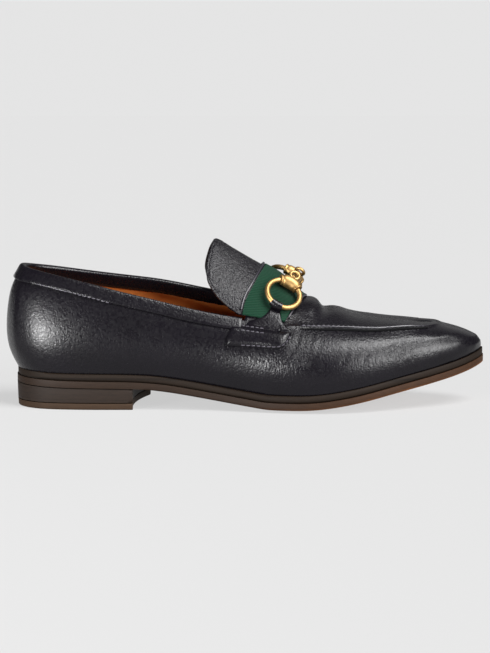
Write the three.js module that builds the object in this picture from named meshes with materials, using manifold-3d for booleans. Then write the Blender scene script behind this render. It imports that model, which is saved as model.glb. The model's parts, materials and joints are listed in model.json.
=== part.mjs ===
// A bit loafer for the right foot. Millimetres, toe towards +X, the foot's outer side towards -Y, +Z up.
// It is drawn with the back of the sole at X = 0 and the floor at Z = 0, and centred on the floor at the end.
import * as THREE from "three";
import Module from "manifold-3d";

// Sole and heel
const SOLE_LENGTH = 296.4;
const BALL_WIDTH = 100;
const HEEL_WIDTH = 65;
const HEEL_HEIGHT = 13.2; // floor to outsole at the heel's breast
const TOP_LIFT = 4.3;
const TOE_SPRING = 24.2; // floor to outsole at the toe's tip
const OUTSOLE = 4.3;
const EDGE_EASE = 1.9; // how far the forefoot's lower edge is rounded up
const EASE_REACH = 10;
const MIDSOLE = 4.2;
const MIDSOLE_STEP = 0.5;
const HEEL_TAPER = 0.9;
const BREAST_LATERAL = 75;
const BREAST_MEDIAL = 84;
const BREAST_HOLLOW = 4;
const INSOLE = 2.5;
const INSOLE_CLEARANCE = 0.9;
const SEAM_GAP = 0.3; // between pieces that meet

// Upper
const WALL = 1.8;
const HEEL_MARGIN = 0.4; // sole edge beyond the upper
const FORE_MARGIN = 1.6;
const BACK_HEIGHT = 63.7; // sole top to top line at the back
const INSTEP_HEIGHT = 74; // sole top to the throat's ridge
const SIDE_ROUND = 8.5; // most that a side stands out past a straight line from sole to top line
const CROWN = 9; // most that the instep rises above a straight line from its side to its ridge
const SEAM_RAISE = 1.1; // apron's edge above the skin
const SEAM_HALF = 1.8; // width of its slope
const BAND_BACK = 9; // collar band's depth at the heel
const BAND_SIDE = 7.5;
const BAND_INSIDE = 8;
const BINDING = 0.9;
const TONGUE = 2.2;
const TONGUE_LENGTH = 35;
const TONGUE_RISE = 19;
const TONGUE_SPRING = 0.7; // how far the tongue bows above a straight line

// Band, ears and bit
const RIBBON = 1.2;
const RIBBON_GAP = 0.45;
const RIBBON_TUCK = 5; // how far the ribbon reaches back over the tongue
const PIPING_RADIUS = 0.8;
const PIPING_FLARE = 0.09; // how far the rear piping's ends swing back, a share of the tongue
const PIPING_SPAN = 0.93; // share of the ribbon's width that the pipings follow
const EAR = 1.3;
const EAR_DEPTH = 18;
const EAR_POINT_LATERAL = 13.8;
const EAR_POINT_MEDIAL = 12; // the inner ear's point is lower, as its side is taller
const EAR_PAD = 1.2;
const EAR_BOX_TOP = 3.86; // level across a section where an ear's box ends and its point begins
const EAR_GAP = 0.4;
const BIT_PLACE = 7.07; // section row that the bit crosses
const BIT_SLANT = 0.14; // rows that the bit goes back for each step across to the inner side
const RING_RADIUS = 10.7;
const RING_WIRE = 1.5; // radius of the ring's wire
const WIRE_CLEARANCE = 0.3;
const CHEEK_RADIUS = 3.3;
const CHEEK_END = 2.5;
const CHEEK_LENGTH = 14;
const KEEPER_WALL = 1.1;
const KEEPER_WIDTH = 6.8;
const EYE_RADIUS = 2.8;
const EYE_WIRE = 0.8;
const BIT_CLEARANCE = 1.2; // cheek above the ribbon
const KEEPER_CLEARANCE = 0.7; // keeper above the ribbon
const EYE_SUNK = 0.6; // how far an eye is let into its cheek
const LINK_GAP = 1.4; // between the link's rounds and each eye's far side
const LINK_LIFT = 0.4; // the link's middle above the cheeks' height
const BIT_OFF_RIDGE = 7.5; // the bit's middle lies this far to the outer side of the ridge

// Half widths of the sole's outline, as shares of the heel's or the ball's width. x is a share of its length.
const OUTLINE = [
  { x: 0.015, of: HEEL_WIDTH, lateral: 0.27, medial: 0.27 },
  { x: 0.055, of: HEEL_WIDTH, lateral: 0.43, medial: 0.43 },
  { x: 0.135, of: HEEL_WIDTH, lateral: 0.5, medial: 0.495 },
  { x: 0.26, of: HEEL_WIDTH, lateral: 0.508, medial: 0.47 },
  { x: 0.34, of: BALL_WIDTH, lateral: 0.333, medial: 0.288 },
  { x: 0.42, of: BALL_WIDTH, lateral: 0.352, medial: 0.302 },
  { x: 0.5, of: BALL_WIDTH, lateral: 0.406, medial: 0.366 },
  { x: 0.58, of: BALL_WIDTH, lateral: 0.465, medial: 0.448 },
  { x: 0.66, of: BALL_WIDTH, lateral: 0.488, medial: 0.505 },
  { x: 0.74, of: BALL_WIDTH, lateral: 0.448, medial: 0.5 },
  { x: 0.82, of: BALL_WIDTH, lateral: 0.356, medial: 0.428 },
  { x: 0.89, of: BALL_WIDTH, lateral: 0.26, medial: 0.342 },
  { x: 0.945, of: BALL_WIDTH, lateral: 0.167, medial: 0.264 },
  { x: 0.983, of: BALL_WIDTH, lateral: 0.07, medial: 0.188 },
];
const TIP_Y = 0.06; // the toe's tip, a share of the ball's width towards the inner side

// Underside of the sole: shares of the heel's height and of the toe spring
const UNDERSIDE = [
  { x: 0, heel: 1.145, spring: 0 },
  { x: 0.1, heel: 1.05, spring: 0 },
  { x: 0.256, heel: 1, spring: 0 },
  { x: 0.3, heel: 0.826, spring: 0 },
  { x: 0.368, heel: 0.576, spring: 0 },
  { x: 0.435, heel: 0.326, spring: 0 },
  { x: 0.503, heel: 0.1, spring: 0 },
  { x: 0.54, heel: 0, spring: 0 },
  { x: 0.61, heel: 0, spring: 0 },
  { x: 0.668, heel: 0, spring: 0.07 },
  { x: 0.735, heel: 0, spring: 0.207 },
  { x: 0.803, heel: 0, spring: 0.393 },
  { x: 0.874, heel: 0, spring: 0.57 },
  { x: 0.945, heel: 0, spring: 0.773 },
  { x: 1, heel: 0, spring: 1 },
];

// Sections of the upper, from the back of the heel round to the nose. foot is where a section leaves the
// sole's edge. x, y and up place its upper edge: the top line up to the throat, and the apron's edge from there
// on. low, mid and high say how far the side stands out at three levels, as shares of SIDE_ROUND.
const THROAT = 6; // first row that runs over the instep
const BAND_FRONT = 8; // row at the ribbon's front edge
const NOSE = 16;
const LATERAL = [
  { foot: 0, x: 0.0125, y: 0, up: 1, low: 0.84, mid: 1.02, high: 0.88 },
  { foot: 0.02, x: 0.025, y: -0.115, up: 0.983, low: 0.76, mid: 0.94, high: 0.76 },
  { foot: 0.08, x: 0.082, y: -0.203, up: 0.937, low: 0.57, mid: 0.76, high: 0.54 },
  { foot: 0.16, x: 0.169, y: -0.262, up: 0.854, low: 0.47, mid: 0.68, high: 0.44 },
  { foot: 0.26, x: 0.27, y: -0.284, up: 0.746, low: 0.47, mid: 0.68, high: 0.44 },
  { foot: 0.37, x: 0.3745, y: -0.296, up: 0.69, low: 0.49, mid: 0.72, high: 0.46 },
  { foot: 0.485, x: 0.486, y: -0.303, up: 0.584, low: 0.59, mid: 0.9, high: 0.66 },
  { foot: 0.53, x: 0.528, y: -0.318, up: 0.581, low: 0.62, mid: 0.96, high: 0.8 },
  { foot: 0.57, x: 0.569, y: -0.328, up: 0.568, low: 0.61, mid: 1, high: 0.92 },
  { foot: 0.64, x: 0.641, y: -0.312, up: 0.54, low: 0.58, mid: 1, high: 0.99 },
  { foot: 0.71, x: 0.707, y: -0.295, up: 0.493, low: 0.54, mid: 0.92, high: 0.93 },
  { foot: 0.785, x: 0.774, y: -0.262, up: 0.426, low: 0.48, mid: 0.8, high: 0.81 },
  { foot: 0.86, x: 0.833, y: -0.21, up: 0.382, low: 0.44, mid: 0.71, high: 0.71 },
  { foot: 0.925, x: 0.874, y: -0.142, up: 0.34, low: 0.47, mid: 0.8, high: 0.85 },
  { foot: 0.97, x: 0.897, y: -0.07, up: 0.33, low: 0.58, mid: 1.02, high: 1 },
  { foot: 0.993, x: 0.907, y: -0.003, up: 0.318, low: 0.62, mid: 1.12, high: 1.05 },
  { foot: 1, x: 0.9095, y: 0.055, up: 0.312, low: 0.62, mid: 1.15, high: 1.05 },
];
const MEDIAL = [
  { foot: 0, x: 0.0125, y: 0, up: 1, low: 0.84, mid: 1.02, high: 0.88 },
  { foot: 0.02, x: 0.025, y: 0.115, up: 0.983, low: 0.76, mid: 0.94, high: 0.76 },
  { foot: 0.08, x: 0.082, y: 0.203, up: 0.952, low: 0.57, mid: 0.76, high: 0.54 },
  { foot: 0.16, x: 0.169, y: 0.255, up: 0.895, low: 0.47, mid: 0.68, high: 0.44 },
  { foot: 0.26, x: 0.27, y: 0.275, up: 0.845, low: 0.4, mid: 0.59, high: 0.4 },
  { foot: 0.37, x: 0.3745, y: 0.29, up: 0.818, low: 0.32, mid: 0.56, high: 0.46 },
  { foot: 0.485, x: 0.489, y: 0.315, up: 0.682, low: 0.47, mid: 0.78, high: 0.64 },
  { foot: 0.53, x: 0.534, y: 0.338, up: 0.657, low: 0.56, mid: 0.92, high: 0.8 },
  { foot: 0.57, x: 0.573, y: 0.345, up: 0.627, low: 0.6, mid: 1.02, high: 0.95 },
  { foot: 0.64, x: 0.644, y: 0.338, up: 0.566, low: 0.56, mid: 1.03, high: 1.02 },
  { foot: 0.71, x: 0.709, y: 0.32, up: 0.507, low: 0.63, mid: 1.13, high: 1.1 },
  { foot: 0.785, x: 0.779, y: 0.285, up: 0.43, low: 0.55, mid: 0.94, high: 0.94 },
  { foot: 0.86, x: 0.84, y: 0.242, up: 0.371, low: 0.45, mid: 0.78, high: 0.78 },
  { foot: 0.925, x: 0.881, y: 0.185, up: 0.336, low: 0.47, mid: 0.82, high: 0.86 },
  { foot: 0.97, x: 0.901, y: 0.125, up: 0.324, low: 0.58, mid: 1.02, high: 1 },
  { foot: 0.993, x: 0.908, y: 0.08, up: 0.315, low: 0.62, mid: 1.12, high: 1.05 },
  { foot: 1, x: 0.9095, y: 0.055, up: 0.312, low: 0.62, mid: 1.15, high: 1.05 },
];

// Where the sections from the throat on cross the ridge, how much each is crowned on the outer and the inner
// side, and how far it leans forward
const OVER_INSTEP = [
  { x: 0.5466, crown: 1, inner: 0.45, lean: 0.44 },
  { x: 0.582, crown: 1, inner: 0.45, lean: 0.44 },
  { x: 0.614, crown: 0.85, inner: 0.42, lean: 0.4 },
  { x: 0.653, crown: 0.46, inner: 0.3, lean: 0.15 },
  { x: 0.71, crown: 0.34, inner: 0.26, lean: 0 },
  { x: 0.7725, crown: 0.26, inner: 0.23, lean: 0 },
  { x: 0.82, crown: 0.2, inner: 0.2, lean: 0 },
  { x: 0.847, crown: 0.17, inner: 0.17, lean: 0 },
  { x: 0.864, crown: 0.13, inner: 0.13, lean: 0 },
  { x: 0.874, crown: 0.11, inner: 0.11, lean: 0 },
  { x: 0.877, crown: 0.11, inner: 0.11, lean: 0 },
];

// The ridge from throat to toe: y a share of the ball's width, up a share of INSTEP_HEIGHT above the sole
const RIDGE = [
  { x: 0.5466, y: 0.075, up: 0.99 },
  { x: 0.5735, y: 0.075, up: 0.915 },
  { x: 0.602, y: 0.073, up: 0.794 },
  { x: 0.614, y: 0.071, up: 0.759 },
  { x: 0.634, y: 0.067, up: 0.725 },
  { x: 0.658, y: 0.061, up: 0.659 },
  { x: 0.692, y: 0.053, up: 0.621 },
  { x: 0.725, y: 0.047, up: 0.556 },
  { x: 0.7945, y: 0.043, up: 0.448 },
  { x: 0.8435, y: 0.046, up: 0.38 },
  { x: 0.884, y: 0.053, up: 0.325 },
];

// The tongue's free edge, from the tip to a lower corner: back and out are shares of TONGUE_LENGTH, and up is
// a share of TONGUE_RISE
const TONGUE_EDGE = [
  { across: 0, back: 1, out: 0, up: 0.98 },
  { across: 0.2, back: 1.1, out: 0.17, up: 0.72 },
  { across: 0.4, back: 1.1, out: 0.25, up: 0.29 },
  { across: 0.6, back: 0.93, out: 0.22, up: 0.03 },
  { across: 0.8, back: 0.56, out: 0.1, up: -0.06 },
  { across: 1, back: 0.09, out: 0, up: 0.03 },
];

// An ear's outline: x a share of the sole's length, low and high shares of EAR_DEPTH from the upper edge
const EAR_OUTLINE = [
  { x: 0.452, low: -1.07, high: -0.47 },
  { x: 0.4705, low: -1.04, high: -0.47 },
  { x: 0.4845, low: -1, high: -0.46 },
  { x: 0.4895, low: -1, high: -0.1 },
  { x: 0.501, low: -0.97, high: 0.0 },
  { x: 0.513, low: -0.94, high: 0.13 },
  { x: 0.522, low: -0.91, high: 0.26 },
  { x: 0.5285, low: -0.89, high: 0.39 },
  { x: 0.536, low: -0.87, high: 0.47 },
  { x: 0.5435, low: -0.85, high: 0.45 },
  { x: 0.55, low: -0.82, high: 0.38 },
  { x: 0.5585, low: -0.77, high: 0.24 },
  { x: 0.5685, low: -0.68, high: 0.05 },
  { x: 0.577, low: -0.55, high: -0.09 },
  { x: 0.5825, low: -0.4, high: -0.2 },
];

const NUDGE = 0.02; // step in rows or across that a surface's direction is taken over
const HAIR = 1e-6;

const { abs, cos, max, min, PI, round, sin, sqrt } = Math;
const vector = (x, y, z) => new THREE.Vector3(x, y, z);
const between = (a, b, share) => a.clone().lerp(b, share);
const moved = (point, direction, distance) => point.clone().addScaledVector(direction, distance);
const eased = (x, from, to) => THREE.MathUtils.smoothstep(x, from, to);

// A smooth function through knots that never overshoots them: a monotone cubic. Level ends suit a value that
// is the same on both sides of the shoe's middle.
function through(knots, levelEnds = false) {
  const slopes = knots.slice(1).map(([x, y], i) => (y - knots[i][1]) / (x - knots[i][0]));
  const tangents = knots.map((_, i) => {
    const before = slopes[max(i - 1, 0)];
    const after = slopes[min(i, slopes.length - 1)];
    if (levelEnds && (i === 0 || i === knots.length - 1)) return 0;
    return before * after <= 0 ? 0 : (2 * before * after) / (before + after);
  });
  return (x) => {
    let i = 0;
    while (i < knots.length - 2 && x > knots[i + 1][0]) i += 1;
    const width = knots[i + 1][0] - knots[i][0];
    const t = min(max((x - knots[i][0]) / width, 0), 1);
    const rise = (knots[i + 1][1] - knots[i][1]) * t * t * (3 - 2 * t);
    const lean = tangents[i] * t * (1 - t) ** 2 - tangents[i + 1] * t * t * (1 - t);
    return knots[i][1] + rise + width * lean;
  };
}

const column = (table, of, by = (_, i) => i) => through(table.map((row, i) => [by(row, i), of(row)]));
const levelColumn = (table, of) => through(table.map((row, i) => [i, of(row)]), true);

// The sole's outline as one smooth closed curve, split at the heel's back and the toe's tip
function outlineSides() {
  const rowPoint = (row, y) => vector(row.x * SOLE_LENGTH, y * row.of, 0);
  const curve = new THREE.CatmullRomCurve3(
    [
      vector(0, 0, 0),
      ...OUTLINE.map((row) => rowPoint(row, -row.lateral)),
      vector(SOLE_LENGTH, TIP_Y * BALL_WIDTH, 0),
      ...OUTLINE.toReversed().map((row) => rowPoint(row, row.medial)),
    ],
    true,
    "centripetal",
  );
  const samples = 30;
  const all = curve.getPoints(samples * curve.points.length);
  const tip = samples * (OUTLINE.length + 1);
  return { lateral: all.slice(0, tip + 1), medial: all.slice(tip).toReversed() };
}

// One side of the outline: a point and its outward normal at a share of the way along, and the share at an x
function sideOf(points, sign) {
  const lengths = [0];
  points.slice(1).forEach((p, i) => lengths.push(lengths[i] + p.distanceTo(points[i])));
  const total = lengths[lengths.length - 1];
  const find = (list, value) => {
    const i = list.findIndex((entry) => entry >= value);
    return i < 1 ? (i < 0 ? list.length - 1 : 1) : i;
  };
  return {
    at(share) {
      const i = find(lengths, share * total);
      const local = (share * total - lengths[i - 1]) / (lengths[i] - lengths[i - 1]);
      const before = points[max(i - 2, 0)];
      const after = points[min(i + 1, points.length - 1)];
      const along = after.clone().sub(before);
      const atEnd = share <= 0 ? vector(-1, 0, 0) : vector(1, 0, 0);
      const normal = vector(-sign * along.y, sign * along.x, 0).normalize();
      return {
        point: between(points[i - 1], points[i], local),
        normal: share <= 0 || share >= 1 ? atEnd : normal,
      };
    },
    shareAt(x) {
      const i = find(
        points.map((p) => p.x),
        x,
      );
      const local = (x - points[i - 1].x) / (points[i].x - points[i - 1].x || 1);
      return (lengths[i - 1] + local * (lengths[i] - lengths[i - 1])) / total;
    },
  };
}

const OUTLINES = outlineSides();
const SIDES = [
  { sign: -1, rows: LATERAL, outline: sideOf(OUTLINES.lateral, -1) },
  { sign: 1, rows: MEDIAL, outline: sideOf(OUTLINES.medial, 1) },
];

// Heights of the sole along its length
const heelShare = column(UNDERSIDE, (row) => row.heel, (row) => row.x * SOLE_LENGTH);
const springShare = column(UNDERSIDE, (row) => row.spring, (row) => row.x * SOLE_LENGTH);
const underside = (x) => heelShare(x) * HEEL_HEIGHT + springShare(x) * TOE_SPRING;
const ease = (x) => EDGE_EASE * eased(x, BREAST_LATERAL, BREAST_LATERAL + 2 * EASE_REACH);
const outsoleTop = (x) => underside(x) + ease(x) + OUTSOLE;
const midsoleTop = (x) => outsoleTop(x) + SEAM_GAP + MIDSOLE;
const seat = (x) => midsoleTop(x) + SEAM_GAP;
const margin = (x) => HEEL_MARGIN + (FORE_MARGIN - HEEL_MARGIN) * eased(x, 0, SOLE_LENGTH / 2);

// Each side's table as smooth functions of the row number, with the rows between them filled in
const ROW_VALUES = SIDES.map(({ sign, rows, outline }) => ({
  sign,
  outline,
  share: column(rows, (row) => outline.shareAt(row.foot * SOLE_LENGTH)),
  x: levelColumn(rows, (row) => row.x * SOLE_LENGTH),
  y: column(rows, (row) => row.y * BALL_WIDTH),
  up: levelColumn(rows, (row) => row.up * (rows.indexOf(row) < THROAT ? BACK_HEIGHT : INSTEP_HEIGHT)),
  low: levelColumn(rows, (row) => row.low * SIDE_ROUND),
  mid: levelColumn(rows, (row) => row.mid * SIDE_ROUND),
  high: levelColumn(rows, (row) => row.high * SIDE_ROUND),
}));
const fromThroat = (_, i) => i + THROAT;
const ridgeX = column(OVER_INSTEP, (row) => row.x * SOLE_LENGTH, fromThroat);
const crowns = ["crown", "inner"].map((side) =>
  column(OVER_INSTEP, (row) => row[side] * CROWN, fromThroat));
const lean = column(OVER_INSTEP, (row) => row.lean, fromThroat);
const ridgeY = column(RIDGE, (row) => row.y * BALL_WIDTH, (row) => row.x * SOLE_LENGTH);
const ridgeUp = column(RIDGE, (row) => row.up * INSTEP_HEIGHT, (row) => row.x * SOLE_LENGTH);

// Point of the sole's edge on a section row, let in by a distance
function rim(side, row, inset) {
  const { point, normal } = side.outline.at(side.share(row));
  return moved(point, normal, -inset);
}

// The points that a section's side passes through, from the sole up to the upper edge
const LEVELS = [0.2, 0.45, 0.75];
function sidePoints(side, row) {
  const { point, normal } = side.outline.at(side.share(row));
  const foot = moved(point, normal, -margin(point.x));
  foot.z = seat(foot.x);
  const edge = vector(side.x(row), side.y(row), 0);
  edge.z = seat(edge.x) + side.up(row);
  const outs = [side.low(row), side.mid(row), side.high(row)];
  const bulged = LEVELS.map((level, i) => moved(between(foot, edge, level), normal, outs[i]));
  return [foot, ...bulged, edge];
}

function ridgePoint(row) {
  const x = ridgeX(row);
  return vector(x, ridgeY(x), seat(x) + ridgeUp(x));
}

function crownPoint(edge, ridge, crown, row) {
  const push = vector(lean(row), 0, 1).normalize();
  return moved(between(edge, ridge, 0.5), push, crown(row));
}

// The skin: across runs from 0 at the outer side's foot, 4 at its upper edge and 6 on the ridge to 12 at the
// inner side's foot. Rows before the throat have no part between 4 and 8.
const EDGE = 4;
const RIDGE_AT = 6;
const ACROSS = 12;
const sections = new Map();
function section(row) {
  const key = round(row * 1e5);
  if (!sections.has(key)) {
    const [lateral, medial] = ROW_VALUES.map((side) => sidePoints(side, row));
    const spline = (points) => new THREE.CatmullRomCurve3(points, false, "centripetal");
    if (row >= THROAT) {
      const ridge = ridgePoint(row);
      const over = [lateral, medial].map((points, i) => crownPoint(points[EDGE], ridge, crowns[i], row));
      sections.set(key, [
        spline([...lateral, over[0], ridge, over[1], ...medial.toReversed()]),
      ]);
    } else sections.set(key, [spline(lateral), spline(medial)]);
  }
  return sections.get(key);
}

function skin(row, across) {
  const curves = section(row);
  if (curves.length === 1) return curves[0].getPoint(across / ACROSS);
  return across <= EDGE
    ? curves[0].getPoint(across / EDGE)
    : curves[1].getPoint((ACROSS - across) / EDGE);
}

function skinDirections(row, across) {
  const overTop = across > EDGE + HAIR && across < ACROSS - EDGE - HAIR;
  const lowRow = max(row - NUDGE, overTop ? THROAT : 0);
  const highRow = min(row + NUDGE, NOSE);
  const ends = row < THROAT ? (across <= EDGE ? [0, EDGE] : [ACROSS - EDGE, ACROSS]) : [0, ACROSS];
  const lowAcross = max(across - NUDGE, ends[0]);
  const highAcross = min(across + NUDGE, ends[1]);
  const along = skin(highRow, across).sub(skin(lowRow, across)).normalize();
  const up = skin(row, highAcross).sub(skin(row, lowAcross)).normalize();
  return { along, up };
}

function skinNormal(row, across) {
  const { along, up } = skinDirections(row, across);
  const normal = along.cross(up).normalize();
  if (row > 0 && row < NOSE) return normal;
  const mirror = skinDirections(row, ACROSS - across);
  return normal.add(mirror.along.cross(mirror.up).normalize()).normalize();
}

const offSkin = (row, across, distance) =>
  moved(skin(row, across), skinNormal(row, across), distance);

// A net of points, each with an outer and an inner place, that becomes the closed solid between its two faces
class Net {
  ids = new Map();
  outer = [];
  inner = [];
  faces = [];

  point(outer, inner) {
    const key = outer.toArray().map((value) => round(value * 500)).join();
    if (!this.ids.has(key)) {
      this.ids.set(key, this.outer.length);
      this.outer.push(outer);
      this.inner.push(inner);
    }
    return this.ids.get(key);
  }

  triangle(a, b, c) {
    if (a !== b && b !== c && c !== a) this.faces.push([a, b, c]);
  }

  quad(a, b, c, d) {
    this.triangle(a, b, c);
    this.triangle(a, c, d);
  }

  // Adds a grid of quads over two ranges, skipping the cells that keep says are open
  grid(across, along, at, keep = () => true) {
    const places = across.map((u, i) => along.map((v, j) => at(u, v, i, j)));
    const points = places.map((line) => line.map((pair) => pair && this.point(...pair)));
    for (let i = 0; i + 1 < across.length; i += 1)
      for (let j = 0; j + 1 < along.length; j += 1)
        if (keep(i, j))
          this.quad(points[i][j], points[i + 1][j], points[i + 1][j + 1], points[i][j + 1]);
    return this;
  }

  geometry() {
    const count = this.outer.length;
    const edges = new Set(this.faces.flatMap(([a, b, c]) => [`${a},${b}`, `${b},${c}`, `${c},${a}`]));
    const triangles = [];
    for (const [a, b, c] of this.faces) {
      triangles.push([a, b, c], [c + count, b + count, a + count]);
      for (const [from, to] of [[a, b], [b, c], [c, a]])
        if (!edges.has(`${to},${from}`))
          triangles.push([to, from, from + count], [to, from + count, to + count]);
    }
    return outward([...this.outer, ...this.inner], triangles);
  }
}

// A geometry from points and triangles, turned so that its faces point outwards
function outward(points, triangles) {
  const used = triangles.filter(([a, b, c]) => a !== b && b !== c && c !== a);
  const volume = used.reduce(
    (sum, [a, b, c]) => sum + points[a].dot(points[b].clone().cross(points[c])),
    0,
  );
  const geometry = new THREE.BufferGeometry();
  geometry.setAttribute(
    "position",
    new THREE.Float32BufferAttribute(points.flatMap((p) => p.toArray()), 3),
  );
  geometry.setIndex(used.flatMap((face) => (volume < 0 ? face.toReversed() : face)));
  return geometry;
}

// A closed loop of wire along points with a normal to the loop's plane at each
function hoop(points, planeNormal, radius, sides) {
  const count = points.length;
  const rings = points.map((point, i) => {
    const along = points[(i + 1) % count].clone().sub(points[(i + count - 1) % count]).normalize();
    const outwards = along.clone().cross(planeNormal).normalize();
    return Array.from({ length: sides }, (_, k) => {
      const angle = (2 * PI * k) / sides;
      return moved(moved(point, outwards, radius * cos(angle)), planeNormal, radius * sin(angle));
    });
  });
  const triangles = [];
  rings.forEach((_, i) => {
    for (let k = 0; k < sides; k += 1) {
      const a = i * sides + k;
      const b = i * sides + ((k + 1) % sides);
      const c = ((i + 1) % count) * sides + ((k + 1) % sides);
      const d = ((i + 1) % count) * sides + k;
      triangles.push([a, b, c], [a, c, d]);
    }
  });
  return outward(rings.flat(), triangles);
}

const series = (from, to, parts) =>
  Array.from({ length: parts + 1 }, (_, i) => from + ((to - from) * i) / parts);

// Row numbers of all the sections drawn: each table row with the cuts after it
const CUTS = [2, 2, 2, 2, 3, 3, 2, 2, 2, 2, 2, 2, 2, 2, 2, 2];
const ALL_ROWS = CUTS.flatMap((cuts, i) => series(i, i + 1, cuts).slice(0, -1)).concat(NOSE);

// Sole pieces: a plate between two heights, its faces let in from the sole's outline by two distances
function plate(shares, tops, bottoms, topInset, bottomInset) {
  const [lateral, medial] = ROW_VALUES;
  const place = (row, share, inset, height) => {
    const left = rim(lateral, row, inset(row));
    const right = rim(medial, row, inset(row));
    const point = between(left, right, (share + 1) / 2);
    const fromEdge = min(
      (left.distanceTo(right) / 2) * (1 - abs(share)),
      SOLE_LENGTH - point.x,
    );
    return vector(point.x, point.y, height(point.x, fromEdge));
  };
  return new Net()
    .grid(ALL_ROWS, shares, (row, share) => [
      place(row, share, topInset, tops),
      place(row, share, bottomInset, bottoms),
    ])
    .geometry();
}

const ACROSS_OUTSOLE = [-1, -0.8, -0.3, 0.3, 0.8, 1];
const ACROSS_SOLE = [-1, -0.4, 0.4, 1];
const constant = (value) => () => value;
const footMargin = (row) => margin(ROW_VALUES[0].outline.at(ROW_VALUES[0].share(row)).point.x);

function outsole() {
  const bottom = (x, fromEdge) =>
    underside(x) + ease(x) * (1 - eased(fromEdge, 0, EASE_REACH));
  return plate(ACROSS_OUTSOLE, outsoleTop, bottom, constant(0), constant(0));
}

function midsole() {
  const bottom = (x) => outsoleTop(x) + SEAM_GAP;
  return plate(ACROSS_SOLE, midsoleTop, bottom, constant(MIDSOLE_STEP), constant(MIDSOLE_STEP));
}

function insole() {
  const inset = (row) => footMargin(row) + WALL + INSOLE_CLEARANCE;
  const top = (x) => seat(x) + INSOLE;
  return plate(ACROSS_SOLE, top, seat, inset, inset);
}

// Heel pieces end at the breast, which is hollow and further forward on the inner side
function heelPiece(top, bottom, topInset, bottomInset) {
  const ends = [BREAST_LATERAL, BREAST_MEDIAL].map((x, i) => {
    const side = ROW_VALUES[i];
    let low = 0;
    let high = THROAT;
    for (let step = 0; step < 30; step += 1) {
      const middle = (low + high) / 2;
      if (rim(side, middle, 0).x < x) low = middle;
      else high = middle;
    }
    return low;
  });
  const place = (share, side, inset, height) => {
    const [left, right] = ROW_VALUES.map((values, i) => rim(values, share * ends[i], inset));
    const point = between(left, right, (side + 1) / 2);
    const hollow = BREAST_HOLLOW * (1 - side * side) * share ** 3;
    return vector(point.x - hollow, point.y, height(point.x - hollow));
  };
  return new Net()
    .grid(series(0, 1, 14), series(-1, 1, 6), (share, side) => [
      place(share, side, topInset, top),
      place(share, side, bottomInset, bottom),
    ])
    .geometry();
}

function heelStack() {
  const share = TOP_LIFT / HEEL_HEIGHT;
  const top = (x) => underside(x) - SEAM_GAP;
  return heelPiece(top, constant(TOP_LIFT), SEAM_GAP, HEEL_TAPER * (1 - share));
}

function topLift() {
  const share = TOP_LIFT / HEEL_HEIGHT;
  return heelPiece(
    constant(TOP_LIFT - SEAM_GAP),
    constant(0),
    HEEL_TAPER * (1 - share),
    HEEL_TAPER,
  );
}

// Levels across a section: the sides, the collar band's lower edge and the apron's edge are lines of the net
const OVER = [0, 0.16, 0.32, 0.48, 0.64, 0.82, 1]; // from the ridge down to just above the edge
const OVER_REACH = 1.88;
const overAt = (share) => RIDGE_AT + OVER_REACH * share;
const bandDepth = (row) => BAND_BACK + (BAND_SIDE - BAND_BACK) * eased(row, 0, THROAT - 1);
const edgeGap = (row, across) => skin(row, across).distanceTo(skin(row, across < RIDGE_AT ? 3 : 9));
const SIDE_LINES = 7; // net lines between a foot and the upper edge

function belowEdge(row, medial, distance) {
  const edge = medial ? ACROSS - EDGE : EDGE;
  const share = min(distance / edgeGap(row, edge), 0.8);
  return medial ? edge + share : edge - share;
}

function levels(row) {
  const half = (medial) => {
    const from = medial ? (value) => ACROSS - value : (value) => value;
    return [
      ...[0, 0.7, 1.4, 2.2, 3].map(from),
      belowEdge(row, medial, bandDepth(row)),
      belowEdge(row, medial, SEAM_HALF),
      from(EDGE),
    ];
  };
  const over = OVER.toReversed().map((share) => overAt(-share));
  return [...half(false), ...over, ...over.slice(0, -1).toReversed().map((a) => ACROSS - a),
    ...half(true).toReversed()];
}

const seamShare = (row) =>
  eased(row, BAND_FRONT + 0.1, BAND_FRONT + 0.5) * (1 - 0.85 * eased(row, NOSE - 3.5, NOSE - 0.5));

function upper() {
  const count = levels(0).length;
  const net = new Net();
  const at = (row, _, i, j) => {
    const across = levels(row)[j];
    if (row < THROAT && across > EDGE && across < ACROSS - EDGE) return null;
    const onSeam = across === EDGE || across === ACROSS - EDGE;
    const normal = skinNormal(row, across);
    const raised = onSeam ? SEAM_RAISE * seamShare(row) : 0;
    const point = skin(row, across);
    const inward = j === 0 || j === count - 1 ? normal.clone().setZ(0).normalize() : normal;
    return [moved(point, normal, raised), moved(point, inward, -WALL)];
  };
  const open = (i, j) => {
    const overTop = j >= SIDE_LINES && j < count - 1 - SIDE_LINES;
    return !overTop || ALL_ROWS[i] >= THROAT;
  };
  return net.grid(ALL_ROWS, series(0, count - 1, count - 1), at, open).geometry();
}

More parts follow.
